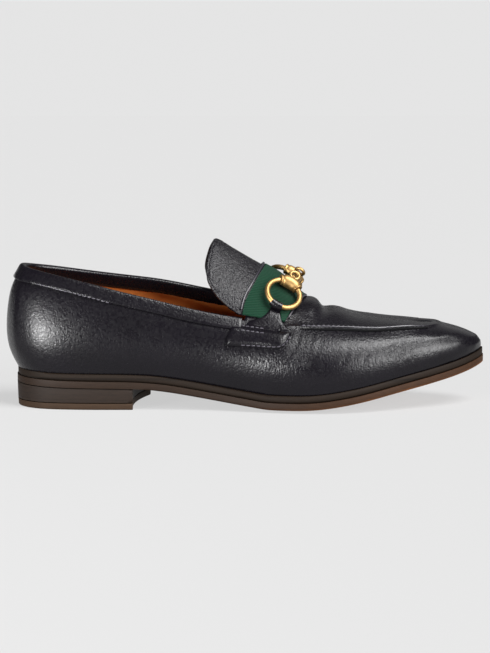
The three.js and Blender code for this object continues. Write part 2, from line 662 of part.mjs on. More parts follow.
// The band folds over the top line: down the outside, round the top, and down the inside
function collarBand() {
  const net = new Net();
  const lie = SEAM_GAP + BINDING;
  const lastRow = THROAT - 0.06;
  const rows = [...ALL_ROWS.filter((row) => row < lastRow), lastRow];
  const path = (row, medial) => {
    const edgeAt = medial ? ACROSS - EDGE : EDGE;
    const lowOut = belowEdge(row, medial, bandDepth(row));
    const lowIn = belowEdge(row, medial, BAND_INSIDE);
    const normal = skinNormal(row, edgeAt);
    const { up } = skinDirections(row, edgeAt);
    const rise = medial ? up.negate() : up;
    if (row === 0) rise.setY(0).normalize();
    const edge = skin(row, edgeAt);
    const inner = moved(edge, normal, -WALL);
    const corner = (from, side, off) =>
      moved(moved(from, normal, side * off * 0.6), rise, off * 0.9);
    const line = (off) => [
      offSkin(row, lowOut, off),
      moved(edge, normal, off),
      corner(edge, 1, off),
      moved(between(edge, inner, 0.5), rise, off * 1.15),
      corner(inner, -1, off),
      moved(inner, normal, -off),
      offSkin(row, lowIn, -WALL - off),
    ];
    const outer = line(lie);
    const wallSide = line(SEAM_GAP);
    return outer.map((point, i) => [point, wallSide[i]]);
  };
  for (const medial of [false, true]) {
    const paths = rows.map((row) => path(row, medial));
    const order = medial ? [6, 5, 4, 3, 2, 1, 0] : [0, 1, 2, 3, 4, 5, 6];
    net.grid(rows, order, (_, k, i) => paths[i][k]);
  }
  return net.geometry();
}

// The tongue runs back from the throat: back goes from 0 there to 1 at its free edge, side from -1 to 1
const edgeColumn = (of) => through(TONGUE_EDGE.map((row) => [row.across, of(row)]), true);
const edgeBack = edgeColumn((row) => row.back * TONGUE_LENGTH);
const edgeOut = column(TONGUE_EDGE, (row) => row.out * TONGUE_LENGTH, (row) => row.across);
const edgeUp = edgeColumn((row) => row.up * TONGUE_RISE);

function tongueAt(back, side) {
  const across = overAt(side);
  const { along } = skinDirections(THROAT, across);
  const front = moved(skin(THROAT, across), along, -SEAM_GAP);
  const reach = abs(side);
  const edge = vector(-edgeBack(reach), Math.sign(side) * edgeOut(reach), edgeUp(reach));
  const bow = (27 / 4) * back * back * (1 - back) * TONGUE_SPRING * (1 - reach ** 4);
  const free = front.clone().add(edge);
  return moved(between(front, free, back), skinNormal(THROAT, across), bow);
}

function tongueNormal(back, side) {
  if (back === 0) return skinNormal(THROAT, overAt(side));
  const along = tongueAt(min(back + NUDGE, 1), side).sub(tongueAt(max(back - NUDGE, 0), side));
  const over = tongueAt(back, min(side + NUDGE, 1)).sub(tongueAt(back, max(side - NUDGE, -1)));
  return over.cross(along).normalize();
}

const onTongue = (back, side, distance) =>
  moved(tongueAt(back, side), tongueNormal(back, side), distance);
// Share of the way back along the tongue that lies a distance behind the throat
const backShare = (side, distance) => {
  const full = tongueAt(0, side).distanceTo(tongueAt(1, side));
  return min(distance / full, 0.55);
};
const OVER_SIDES = [...OVER.toReversed().map((share) => -share), ...OVER.slice(1)];

function tongue() {
  const beyondRibbon = [0, 0.32, 0.46, 0.6, 0.74, 0.88, 1];
  return new Net()
    .grid(OVER_SIDES, [-1, ...beyondRibbon], (side, share) => {
      const tuck = backShare(side, RIBBON_TUCK);
      const back = share < 0 ? 0 : tuck + (1 - tuck) * share;
      return [tongueAt(back, side), onTongue(back, side, -TONGUE)];
    })
    .geometry();
}

const RIBBON_TOP = RIBBON_GAP + RIBBON;

function ribbonLine(side, off) {
  const across = overAt(side);
  const rows = ALL_ROWS.filter((row) => row >= THROAT && row <= BAND_FRONT);
  return [
    onTongue(backShare(side, RIBBON_TUCK), side, off),
    ...rows.map((row) => offSkin(row, across, off)),
  ];
}

function instepBand() {
  const rows = ribbonLine(0, 0).length;
  const lines = OVER_SIDES.map((side) => [ribbonLine(side, RIBBON_TOP), ribbonLine(side, RIBBON_GAP)]);
  return new Net()
    .grid(series(0, OVER_SIDES.length - 1, OVER_SIDES.length - 1), series(0, rows - 1, rows - 1),
      (i, j) => [lines[i][0][j], lines[i][1][j]])
    .geometry();
}

function cordAlong(points, radius) {
  const path = new THREE.CatmullRomCurve3(points, false, "centripetal");
  const shape = new THREE.Shape(
    Array.from({ length: 6 }, (_, k) => {
      const angle = (PI * k) / 3;
      return new THREE.Vector2(radius * cos(angle), radius * sin(angle));
    }),
  );
  return new THREE.ExtrudeGeometry(shape, { steps: 18, bevelEnabled: false, extrudePath: path });
}

const PIPED_SIDES = OVER_SIDES.map((side) => side * PIPING_SPAN);
const PIPING_LIE = SEAM_GAP + PIPING_RADIUS;

function pipingRear() {
  const beyond = RIBBON_TUCK + PIPING_LIE + SEAM_GAP / 2;
  return cordAlong(
    PIPED_SIDES.map((side) => onTongue(backShare(side, beyond) + PIPING_FLARE * side ** 6, side, PIPING_LIE)),
    PIPING_RADIUS,
  );
}

function pipingFront() {
  return cordAlong(
    PIPED_SIDES.map((side) => {
      const across = overAt(side);
      const { along } = skinDirections(BAND_FRONT, across);
      return moved(offSkin(BAND_FRONT, across, PIPING_LIE), along, PIPING_LIE);
    }),
    PIPING_RADIUS,
  );
}

// An ear: a padded box on the side wall, with a pointed top that lies over the ribbon's end
function bisect(low, high, isBelow) {
  let [from, to] = [low, high];
  for (let step = 0; step < 40; step += 1) {
    const middle = (from + to) / 2;
    if (isBelow(middle)) from = middle;
    else to = middle;
  }
  return from;
}

function ear(medial) {
  const values = ROW_VALUES[medial ? 1 : 0];
  const toAcross = (level) => (medial ? ACROSS - level : level);
  const point = medial ? EAR_POINT_MEDIAL : EAR_POINT_LATERAL;
  const outlineAt = EAR_OUTLINE.map((entry) => {
    const row = bisect(THROAT - 1, BAND_FRONT + 2, (r) => values.x(r) < entry.x * SOLE_LENGTH);
    const edge = skin(row, toAcross(EDGE)).z;
    const top = row < THROAT ? EDGE : RIDGE_AT;
    const levelAt = (z) => bisect(0, top, (level) => skin(row, toAcross(level)).z < z);
    return {
      row,
      low: levelAt(edge + entry.low * EAR_DEPTH),
      high: levelAt(edge + entry.high * (entry.high > 0 ? point : EAR_DEPTH)),
    };
  });
  const lengthwise = series(0, outlineAt.length - 1, outlineAt.length - 1);
  const upwards = series(0, 10, 10);
  return new Net()
    .grid(lengthwise, upwards, (i, j) => {
      const { row, low, high } = outlineAt[i];
      const shoulder = high > EAR_BOX_TOP ? EAR_BOX_TOP : low + 0.7 * (high - low);
      const level = j <= 6 ? low + ((shoulder - low) * j) / 6 : shoulder + ((high - shoulder) * (j - 6)) / 4;
      const across = toAcross(level);
      const under = EAR_GAP + RIBBON_TOP * eased(level, EAR_BOX_TOP, EDGE - 0.02);
      const lengthShare = i / (outlineAt.length - 1);
      const heightShare = min(j / 6.5, 1);
      const pad = EAR_PAD * sqrt(max(sin(PI * lengthShare) * sin(PI * heightShare), 0));
      return [offSkin(row, across, under + EAR + pad), offSkin(row, across, under)];
    })
    .geometry();
}

// The bit. A link lies across the ridge, an eye hangs on each end of it, and each eye's cheek is a barrel round
// the upper side of a ring, whose lower side is held by a leather keeper.
const LINK_REACH = EYE_RADIUS * 2 + LINK_GAP; // the bit's middle to an eye's centre
const EYE_TO_CHEEK = CHEEK_RADIUS + EYE_RADIUS + EYE_WIRE - EYE_SUNK;
const BORE = RING_WIRE + WIRE_CLEARANCE;
const BIT_LIFT = RIBBON_TOP + BIT_CLEARANCE + CHEEK_RADIUS;
const KEEPER_LIFT = RIBBON_TOP + KEEPER_CLEARANCE + BORE + KEEPER_WALL;

const fromRidge = (over) =>
  skin(BIT_PLACE, RIDGE_AT - over).distanceTo(skin(BIT_PLACE, RIDGE_AT));
const BIT_ACROSS = RIDGE_AT - bisect(0, 1, (over) => fromRidge(over) < BIT_OFF_RIDGE);
const bitNormal = skinNormal(BIT_PLACE, BIT_ACROSS);
const bitAlong = skinDirections(BIT_PLACE, BIT_ACROSS).along;
const bitCentre = offSkin(BIT_PLACE, BIT_ACROSS, BIT_LIFT + LINK_LIFT);

function bitSide(medial) {
  const sign = medial ? 1 : -1;
  const towards = bitNormal.clone().cross(bitAlong).multiplyScalar(sign);
  const eye = moved(bitCentre, towards, LINK_REACH);
  const rowAt = (over) => BIT_PLACE - BIT_SLANT * sign * over;
  const spot = (over, lift) => offSkin(rowAt(over), BIT_ACROSS + sign * over, lift);
  const cheekAt = bisect(0, 1, (over) => spot(over, BIT_LIFT).distanceTo(eye) < EYE_TO_CHEEK);
  const cheek = spot(cheekAt, BIT_LIFT);
  const keeperAt = bisect(
    cheekAt,
    2,
    (over) => spot(over, KEEPER_LIFT).distanceTo(cheek) < 2 * RING_RADIUS,
  );
  const keeper = spot(keeperAt, KEEPER_LIFT);
  const down = keeper.clone().sub(cheek).normalize();
  const ringAt = (cheekAt + keeperAt) / 2;
  const { along } = skinDirections(rowAt(ringAt), BIT_ACROSS + sign * ringAt);
  const across = moved(along, down, -along.dot(down)).normalize();
  return {
    eye,
    cheek,
    centre: between(cheek, keeper, 0.5),
    down,
    across,
    normal: across.clone().cross(down).multiplyScalar(medial ? 1 : -1).normalize(),
  };
}

function ring(frame) {
  const points = series(0, 2 * PI, 26).slice(0, -1).map((angle) =>
    moved(moved(frame.centre, frame.down, RING_RADIUS * cos(angle)), frame.across, RING_RADIUS * sin(angle)));
  return hoop(points, frame.normal, RING_WIRE, 8);
}

// A sleeve round the ring's wire, centred on its upper or lower side, with a round bore
function sleeve(frame, direction, length, radiusAt, sides) {
  const halfAngle = length / 2 / RING_RADIUS;
  return new Net()
    .grid(series(-1, 1, 6), series(0, 2 * PI, sides), (place, angle) => {
      const turn = place * halfAngle;
      const out = moved(
        frame.down.clone().multiplyScalar(direction * cos(turn)),
        frame.across,
        sin(turn),
      );
      const middle = moved(frame.centre, out, RING_RADIUS);
      const at = (radius) =>
        moved(moved(middle, out, radius * cos(angle)), frame.normal, radius * sin(angle));
      return [at(radiusAt(place)), at(BORE)];
    })
    .geometry();
}

const library = await Module();
library.setup();

function toSolid(geometry) {
  return new library.Manifold(
    new library.Mesh({
      numProp: 3,
      vertProperties: new Float32Array(geometry.attributes.position.array),
      triVerts: new Uint32Array(geometry.index.array),
    }),
  );
}

function toGeometry(solid) {
  const mesh = solid.getMesh();
  const geometry = new THREE.BufferGeometry();
  geometry.setAttribute("position", new THREE.Float32BufferAttribute(mesh.vertProperties, 3));
  geometry.setIndex([...mesh.triVerts]);
  return geometry;
}

function eyeRing(frame) {
  const towards = frame.cheek.clone().sub(frame.eye).normalize();
  const plane = moved(bitAlong, towards, -bitAlong.dot(towards)).normalize();
  const upwards = plane.clone().cross(towards).normalize();
  const points = series(0, 2 * PI, 14).slice(0, -1).map((angle) =>
    moved(moved(frame.eye, towards, EYE_RADIUS * cos(angle)), upwards, EYE_RADIUS * sin(angle)));
  return hoop(points, plane, EYE_WIRE, 6);
}

function cheekPiece(frame) {
  const radiusAt = (place) => CHEEK_RADIUS - (CHEEK_RADIUS - CHEEK_END) * place * place;
  const barrel = sleeve(frame, -1, CHEEK_LENGTH, radiusAt, 12);
  const eye = toSolid(eyeRing(frame));
  // the eye is trimmed so that it stays out of the bore
  const bore = toSolid(sleeveCore(frame));
  return toGeometry(toSolid(barrel).add(eye.subtract(bore)));
}

// The space inside a cheek's bore, a little longer than the cheek
function sleeveCore(frame) {
  const halfAngle = CHEEK_LENGTH / 2 / RING_RADIUS + 0.1;
  const points = series(-halfAngle, halfAngle, 7).map((turn) => {
    const out = moved(frame.down.clone().multiplyScalar(-cos(turn)), frame.across, sin(turn));
    return { out, middle: moved(frame.centre, out, RING_RADIUS) };
  });
  const sides = 12;
  const rings = points.map(({ out, middle }) =>
    series(0, 2 * PI, sides).slice(0, -1).map((angle) =>
      moved(moved(middle, out, BORE * cos(angle)), frame.normal, BORE * sin(angle))));
  const ends = [points[0].middle, points[points.length - 1].middle];
  const all = [...rings.flat(), ...ends];
  const triangles = [];
  const last = (rings.length - 1) * sides;
  for (let k = 0; k < sides; k += 1) {
    const next = (k + 1) % sides;
    for (let i = 0; i + 1 < rings.length; i += 1) {
      const [a, b, c, d] = [i * sides + k, i * sides + next, (i + 1) * sides + next, (i + 1) * sides + k];
      triangles.push([a, b, c], [a, c, d]);
    }
    triangles.push([next, k, rings.length * sides], [last + k, last + next, rings.length * sides + 1]);
  }
  return outward(all, triangles);
}

function centreLink() {
  const towards = bitNormal.clone().cross(bitAlong).normalize();
  const straight = LINK_REACH - EYE_RADIUS;
  const half = series(-PI / 2, PI / 2, 7);
  const end = (sign) =>
    half.map((angle) => {
      const along = sign * (straight + EYE_RADIUS * cos(angle));
      return moved(moved(bitCentre, towards, along), bitAlong, sign * EYE_RADIUS * sin(angle));
    });
  return hoop([...end(1), ...end(-1)], bitNormal, EYE_WIRE, 6);
}

// Finishes
const CALF = { color: 0x1c1b20, roughness: 0.42, metalness: 0 };
const LINING = { color: 0xb4682c, roughness: 0.6, metalness: 0 };
const MIDDLE_SOLE = { color: 0x2e2a27, roughness: 0.55, metalness: 0 };
const SOLE_LEATHER = { color: 0x5a3c28, roughness: 0.5, metalness: 0 };
const STACKED = { color: 0x302c2b, roughness: 0.5, metalness: 0 };
const LIFT = { color: 0x4d3f33, roughness: 0.55, metalness: 0 };
const GROSGRAIN = { color: 0x1d5a40, roughness: 0.85, metalness: 0 };
const BRASS = { color: 0xb08a45, roughness: 0.32, metalness: 1 };

const shoe = new THREE.Group();

function piece(name, geometry, finish) {
  const mesh = new THREE.Mesh(geometry, new THREE.MeshStandardMaterial(finish));
  mesh.name = name;
  shoe.add(mesh);
}

piece("outsole", outsole(), SOLE_LEATHER);
piece("midsole", midsole(), MIDDLE_SOLE);
piece("heel_stack", heelStack(), STACKED);
piece("top_lift", topLift(), LIFT);
piece("insole", insole(), LINING);
piece("upper", upper(), CALF);
piece("collar_band", collarBand(), CALF);
piece("tongue", tongue(), CALF);
piece("instep_band", instepBand(), GROSGRAIN);
piece("piping_rear", pipingRear(), CALF);
piece("piping_front", pipingFront(), CALF);
for (const [name, medial] of [["lateral", false], ["medial", true]]) {
  const frame = bitSide(medial);
  piece(`ear_${name}`, ear(medial), CALF);
  piece(`ring_${name}`, ring(frame), BRASS);
  piece(`cheek_${name}`, cheekPiece(frame), BRASS);
  piece(
    `keeper_${name}`,
    sleeve(frame, 1, KEEPER_WIDTH, constant(BORE + KEEPER_WALL), 10),
    CALF,
  );
}
piece("centre_link", centreLink(), BRASS);

// The part's origin is on the floor under the middle of its box
const box = new THREE.Box3().setFromObject(shoe);
const middle = box.getCenter(vector(0, 0, 0));
shoe.position.set(-middle.x, -middle.y, 0);

const part = new THREE.Group();
part.add(shoe);
export default part;
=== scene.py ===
"""Dresses the bit loafer in black calf, stacked leather, ribbed ribbon and brass, on a pale floor."""
import json
import math
from contextlib import contextmanager

import bpy
from bpy.props import FloatProperty, FloatVectorProperty, PointerProperty
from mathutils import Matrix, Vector
from mathutils.bvhtree import BVHTree

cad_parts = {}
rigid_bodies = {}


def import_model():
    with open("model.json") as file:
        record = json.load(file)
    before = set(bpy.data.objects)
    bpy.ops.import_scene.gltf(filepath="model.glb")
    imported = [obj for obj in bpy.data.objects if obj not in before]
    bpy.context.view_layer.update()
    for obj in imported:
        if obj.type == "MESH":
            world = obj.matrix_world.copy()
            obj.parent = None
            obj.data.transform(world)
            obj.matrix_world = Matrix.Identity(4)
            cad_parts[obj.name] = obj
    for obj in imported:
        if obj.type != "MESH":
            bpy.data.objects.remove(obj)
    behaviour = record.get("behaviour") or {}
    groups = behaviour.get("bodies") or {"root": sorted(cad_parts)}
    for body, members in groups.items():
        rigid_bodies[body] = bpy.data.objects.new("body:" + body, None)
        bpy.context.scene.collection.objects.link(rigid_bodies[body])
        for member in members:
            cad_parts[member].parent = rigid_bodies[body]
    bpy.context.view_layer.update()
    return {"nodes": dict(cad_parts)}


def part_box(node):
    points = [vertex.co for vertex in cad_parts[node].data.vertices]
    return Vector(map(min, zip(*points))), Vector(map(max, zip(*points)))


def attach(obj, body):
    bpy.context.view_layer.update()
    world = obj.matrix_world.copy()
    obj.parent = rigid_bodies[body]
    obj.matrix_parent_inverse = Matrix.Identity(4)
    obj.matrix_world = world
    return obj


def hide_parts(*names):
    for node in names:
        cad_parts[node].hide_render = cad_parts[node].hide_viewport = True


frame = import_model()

bl_info = {
    "name": "Bit loafer",
    "version": (1, 0, 0),
    "blender": (4, 5, 0),
    "location": "3D View > Sidebar > Loafer",
    "description": "Dresses the bit loafer's solids in calf, ribbon, brass and stacked leather",
    "category": "Object",
}

MM = 0.001
SOLE_LOW, SOLE_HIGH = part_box("outsole")
SOLE_LENGTH = SOLE_HIGH.x - SOLE_LOW.x
BACK = SOLE_LOW.x
MIDDLE_Y = (SOLE_LOW.y + SOLE_HIGH.y) / 2


def linear(hex_colour):
    """An sRGB hex colour as linear red, green, blue and alpha."""
    parts = [int(hex_colour[i : i + 2], 16) / 255 for i in (0, 2, 4)]
    return [c / 12.92 if c <= 0.04045 else ((c + 0.055) / 1.055) ** 2.4 for c in parts] + [1.0]


# Sizes and colours that a user would change


def length(name, default, description):
    return FloatProperty(name=name, description=description, default=default, unit="LENGTH")


def colour(name, default, description):
    return FloatVectorProperty(name=name, description=description, default=default, size=4, subtype="COLOR")


class LoaferSole(bpy.types.PropertyGroup):
    layer: length("Heel layer", 3.2 * MM, "Thickness of one leather layer in the heel")
    brown: colour("Edge brown", linear("1d130c"), "Colour of the sole's edge")
    amber: colour("Toe amber", linear("a0602a"), "Colour of the sole's edge at the toe")


class LoaferUpper(bpy.types.PropertyGroup):
    grain: length("Grain", 1.05 * MM, "Width of a pebble in the calf's grain")
    crease_depth: length("Crease depth", 0.55 * MM, "Depth of the deepest walking crease")
    black: colour("Calf black", linear("050406"), "Colour of the dyed calf")
    tan: colour("Lining tan", linear("bb7230"), "Colour of the lining")


class LoaferTrim(bpy.types.PropertyGroup):
    rib: length("Rib", 1.35 * MM, "Spacing of the ribbon's ribs")
    stitch: length("Stitch", 2.2 * MM, "Length of one stitch")
    green: colour("Ribbon green", linear("08281a"), "Colour of the ribbon")
    brass: colour("Brass", linear("a98b5c"), "Colour of the bit")


# Nodes


def feed(tree, made, inputs):
    """Sets a node's inputs; each is a value, or another node's output to link."""
    for name, value in inputs.items():
        if isinstance(value, bpy.types.NodeSocket):
            tree.links.new(value, made.inputs[name])
        else:
            made.inputs[name].default_value = value
    return made


def add(tree, kind, output, inputs, **settings):
    """Adds a node with its settings and inputs, and gives the output that is wanted."""
    made = tree.nodes.new("ShaderNode" + kind)
    for name, value in settings.items():
        setattr(made, name, value)
    return feed(tree, made, inputs).outputs[output]


def new_material(name):
    """An empty node material, its tree, its shader and the object's own coordinates."""
    material = bpy.data.materials.new(name)
    material.use_nodes = True
    tree = material.node_tree
    place = add(tree, "TexCoord", "Object", {})
    return material, tree, tree.nodes["Principled BSDF"], place


# Meshes

MERGE = 0.002 * MM  # closer points are one
QUAD_FACE, QUAD_SHAPE = math.radians(60), math.radians(80)
SMOOTH_BELOW = math.radians(40)


def only(piece):
    """Makes one piece the only selected and active one."""
    if bpy.context.object and bpy.context.object.mode != "OBJECT":
        bpy.ops.object.mode_set(mode="OBJECT")
    bpy.ops.object.select_all(action="DESELECT")
    piece.hide_viewport = False
    piece.select_set(True)
    bpy.context.view_layer.objects.active = piece


@contextmanager
def edit_mode():
    """Edit mode for what is done inside it, then object mode again."""
    bpy.ops.object.mode_set(mode="EDIT")
    yield
    bpy.ops.object.mode_set(mode="OBJECT")


def edit_all(piece, step):
    """Carries out a step of edit mode on all of a piece."""
    only(piece)
    with edit_mode():
        bpy.ops.mesh.select_all(action="SELECT")
        step()


def deselect_mesh(mode):
    """Clears what is selected in the active piece's mesh, and sets whether edges or faces are."""
    with edit_mode():
        bpy.ops.mesh.select_mode(type=mode)
        bpy.ops.mesh.select_all(action="DESELECT")


def apply_modifier(piece, kind, settings):
    only(piece)
    modifier = piece.modifiers.new(kind.title(), kind)
    for name, value in settings.items():
        setattr(modifier, name, value)
    bpy.ops.object.modifier_apply(modifier=modifier.name)


def subdivide(piece, levels):
    apply_modifier(piece, "SUBSURF", {"levels": levels, "render_levels": levels})


def copy_of(node, name=None, sharp=None, crease=1.0):
    """A merged copy of a CAD node's mesh, in quads, with its sharp edges creased for subdivision."""
    piece = bpy.data.objects.new(name or "loafer_" + node, frame["nodes"][node].data.copy())
    bpy.context.scene.collection.objects.link(piece)
    piece.data.materials.clear()
    only(piece)
    with edit_mode():
        bpy.ops.mesh.select_all(action="SELECT")
        bpy.ops.mesh.remove_doubles(threshold=MERGE)
        bpy.ops.mesh.tris_convert_to_quads(face_threshold=QUAD_FACE, shape_threshold=QUAD_SHAPE)
        if sharp is not None:
            bpy.ops.mesh.select_all(action="DESELECT")
            bpy.ops.mesh.edges_select_sharp(sharpness=math.radians(sharp))
            bpy.ops.transform.edge_crease(value=crease)
    return piece


def keep(piece, name, value_at):
    """Stores a value at each of a piece's points, for its material."""
    values = piece.data.attributes.new(name, "FLOAT", "POINT").data
    for vertex, value in zip(piece.data.vertices, values):
        value.value = value_at(vertex.co)


def finish_piece(piece, material=None, node=None):
    """The piece's material, smooth shading and body, and hides the node that it stands for."""
    if material:
        piece.data.materials.append(material)
    only(piece)
    bpy.ops.object.shade_smooth_by_angle(angle=SMOOTH_BELOW)
    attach(piece, "root")
    if node:
        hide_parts(node)


# Shapes that follow the shoe's surface


def surface_of(*pieces):
    """One searchable surface of several pieces."""
    points, faces = [], []
    for piece in pieces:
        start = len(points)
        points += [vertex.co.copy() for vertex in piece.data.vertices]
        faces += [[start + i for i in face.vertices] for face in piece.data.polygons]
    return BVHTree.FromPolygons(points, faces)


FAR_OUT = 200 * MM


def from_side(surface, side, x, z):
    """The point and outward normal that a line from one side of the shoe meets first."""
    return surface.ray_cast(Vector((x, side * FAR_OUT, z)), Vector((0, -side, 0)))[:2]


def from_above(surface, x, y):
    return surface.ray_cast(Vector((x, y, FAR_OUT)), Vector((0, 0, -1)))[:2]


def between(table, place, column):
    """A value from a table, in a straight line from row to row of its first column."""
    if place <= table[0][0]:
        return table[0][column]
    for before, after in zip(table, table[1:]):
        if place <= after[0]:
            share = (place - before[0]) / (after[0] - before[0])
            return before[column] + (after[column] - before[column]) * share
    return table[-1][column]


def smooth_route(points, steps):
    """Points along a smooth curve through the given ones."""
    route = []
    ends = [2 * points[0] - points[1], *points, 2 * points[-1] - points[-2]]
    for a, b, c, d in zip(ends, ends[1:], ends[2:], ends[3:]):
        for i in range(steps):
            t = i / steps
            bend, twist = 2 * a - 5 * b + 4 * c - d, 3 * b - a - 3 * c + d
            route.append(0.5 * (2 * b + (c - a) * t + bend * t * t + twist * t**3))
    return [*route, points[-1].copy()]


def even_route(route, spacing):
    """The same curve with points at an even spacing."""
    lengths = [0.0]
    for a, b in zip(route, route[1:]):
        lengths.append(lengths[-1] + (b - a).length)
    count = max(round(lengths[-1] / spacing), 1)
    even, i = [], 0
    for k in range(count + 1):
        goal = lengths[-1] * k / count
        while i < len(route) - 2 and lengths[i + 1] < goal:
            i += 1
        share = (goal - lengths[i]) / max(lengths[i + 1] - lengths[i], 1e-9)
        even.append(route[i].lerp(route[i + 1], min(share, 1)))
    return even


def tube(route, radii, sides, closed=False):
    """Points and faces of a round tube along a route."""
    points, faces, count = [], [], len(route)
    across = None
    for i, (place, radius) in enumerate(zip(route, radii)):
        before = route[i - 1] if i or closed else place
        after = route[(i + 1) % count] if i < count - 1 or closed else place
        along = (after - before).normalized()
        across = (along.orthogonal() if across is None else across - along * across.dot(along)).normalized()
        up = along.cross(across)
        for k in range(sides):
            turn = 2 * math.pi * k / sides
            points.append(place + radius * (math.cos(turn) * across + math.sin(turn) * up))
    for i in range(count if closed else count - 1):
        for k in range(sides):
            a, b = i * sides, (i + 1) % count * sides
            faces.append((a + k, a + (k + 1) % sides, b + (k + 1) % sides, b + k))
    if not closed:
        faces.append(tuple(reversed(range(sides))))
        faces.append(tuple((count - 1) * sides + k for k in range(sides)))
    return points, faces


def joined(name, shells):
    """One piece of many small closed shells."""
    points, faces = [], []
    for shell_points, shell_faces in shells:
        start = len(points)
        points += shell_points
        faces += [tuple(start + i for i in face) for face in shell_faces]
    mesh = bpy.data.meshes.new(name)
    mesh.from_pydata([tuple(point) for point in points], [], faces)
    piece = bpy.data.objects.new(name, mesh)
    bpy.context.scene.collection.objects.link(piece)
    edit_all(piece, bpy.ops.mesh.normals_make_consistent)
    return piece


def rounded_ends(count, radius, taper):
    """Radii that come to a small round end at both ends."""
    shares = [min(i, count - 1 - i, taper) / taper for i in range(count)]
    return [radius * (0.25 + 0.75 * math.sin(math.pi / 2 * share)) for share in shares]


THREAD_RADIUS = 0.33 * MM
STITCH_GAP = 0.9 * MM
# A stitch's points: share of its length, height and thickness in thread radii
STITCH_PROFILE = ((0, -0.5, 0.6), (0.18, 0.5, 1), (0.5, 0.8, 1.1), (0.82, 0.5, 1), (1, -0.5, 0.6))


def stitches(route, surface, length):
    """Threads laid end to end along a route on a surface, each dipping in at its ends."""
    shells = []
    marks = even_route(route, length + STITCH_GAP)
    share = length / (length + STITCH_GAP)
    for start, end in zip(marks, marks[1:]):
        places = []
        for t, lift, _ in STITCH_PROFILE:
            point, normal, _, _ = surface.find_nearest(start.lerp(end, share * t))
            places.append(point + normal * lift * THREAD_RADIUS)
        shells.append(tube(places, [THREAD_RADIUS * size for _, _, size in STITCH_PROFILE], 6))
    return shells


def distance_to_route(point, route):
    """How far a point is from a polyline, and which share of the line is nearest."""
    best, share = 1e9, 0.0
    for i, (a, b) in enumerate(zip(route, route[1:])):
        step = b - a
        t = min(max((point - a).dot(step) / max(step.length_squared, 1e-12), 0), 1)
        gap = (a + step * t - point).length
        if gap < best:
            best, share = gap, (i + t) / (len(route) - 1)
    return best, share


CREASE_REACH = 3.2  # widths from a crease's middle to the end of its ridges
RIDGE_PLACE, RIDGE_HEIGHT, RIDGE_NARROWNESS = 1.7, 0.4, 1.4
CREASE_FADE = 0.6


def crease(piece, route, outward, depth, width):
    """Presses a soft trough with low ridges beside it into a piece, fading out at the route's ends."""
    reach = CREASE_REACH * width
    low = Vector([min(point[axis] for point in route) - reach for axis in range(3)])
    high = Vector([max(point[axis] for point in route) + reach for axis in range(3)])
    for vertex in piece.data.vertices:
        if not all(low[axis] < vertex.co[axis] < high[axis] for axis in range(3)):
            continue
        gap, share = distance_to_route(vertex.co, route)
        across = gap / width
        if across < CREASE_REACH:
            fade = math.sin(math.pi * min(max(share, 0.02), 0.98)) ** CREASE_FADE
            ridge = RIDGE_HEIGHT * math.exp(-((across - RIDGE_PLACE) ** 2) * RIDGE_NARROWNESS)
            vertex.co += outward * depth * fade * (ridge - math.exp(-across * across))


# Materials; noise scales are how many of a feature there are per millimetre

PORES, WRINKLES, CLOUDS = 0.56 / MM, 1.05 / MM, 0.034 / MM
# Shares of the sole's length between which the calf's grain fades out
GRAIN_ENDS = 0.84, 0.93
# Shares of the sole's length between which its edge turns from brown to amber
AMBER_STARTS = 0.42, 0.85


def calf():
    """Box calf, drum dyed and glazed: near black with a faint violet, fine pebbles and a soft wide gloss.

    Real pebbles are about half a millimetre wide, too fine for this view, so they are drawn coarser.
    """
    sizes = bpy.context.scene.loafer_upper
    material, tree, shader, place = new_material("glazed_box_calf")
    pebbles = add(
        tree, "TexVoronoi", "Distance", {"Vector": place, "Scale": 1 / sizes.grain, "Smoothness": 0.5},
        feature="SMOOTH_F1",
    )
    pores = add(tree, "TexNoise", "Fac", {"Vector": place, "Scale": PORES, "Detail": 3.0})
    drawn_up = add(tree, "Mapping", "Vector", {"Vector": place, "Scale": (1.0, 1.0, 0.22)})
    wrinkles = add(tree, "TexNoise", "Fac", {"Vector": drawn_up, "Scale": WRINKLES, "Detail": 3.0})
    cloudy = add(tree, "TexNoise", "Fac", {"Vector": place, "Scale": CLOUDS, "Detail": 2.0})
    # Over the toe the calf is pulled taut and polished, so its grain fades out
    start, end = (BACK + share * SOLE_LENGTH for share in GRAIN_ENDS)
    grained = add(
        tree, "MapRange", "Result",
        {
            "Value": add(tree, "SeparateXYZ", "X", {"Vector": place}),
            "From Min": start, "From Max": end, "To Min": 1.0, "To Max": 0.12,
        },
        interpolation_type="SMOOTHSTEP",
    )
    flexed = add(tree, "Attribute", "Fac", {}, attribute_name="flexed")
    wrinkled = add(tree, "MapRange", "Result", {"Value": flexed, "To Min": 0.12, "To Max": 1.0})
    drawn_in = add(tree, "Math", "Value", {0: wrinkled, 1: grained}, operation="MULTIPLY")
    normal = add(tree, "Bump", "Normal", {"Height": pebbles, "Strength": grained, "Distance": 0.1 * MM})
    for height, strength, depth in ((pores, grained, 0.11 * MM), (wrinkles, drawn_in, 0.65 * MM)):
        normal = add(tree, "Bump", "Normal", {
            "Height": height, "Strength": strength, "Distance": depth, "Normal": normal,
        })
    tint = add(
        tree, "Mix", "Result", {"Factor": cloudy, "A": sizes.black, "B": linear("0c0a0f")}, data_type="RGBA"
    )
    gloss = add(tree, "MapRange", "Result", {
        "Value": pores, "From Min": 0.3, "From Max": 0.7, "To Min": 0.23, "To Max": 0.35,
    })
    feed(tree, shader, {"Base Color": tint, "Roughness": gloss, "IOR": 1.3, "Normal": normal})
    return material


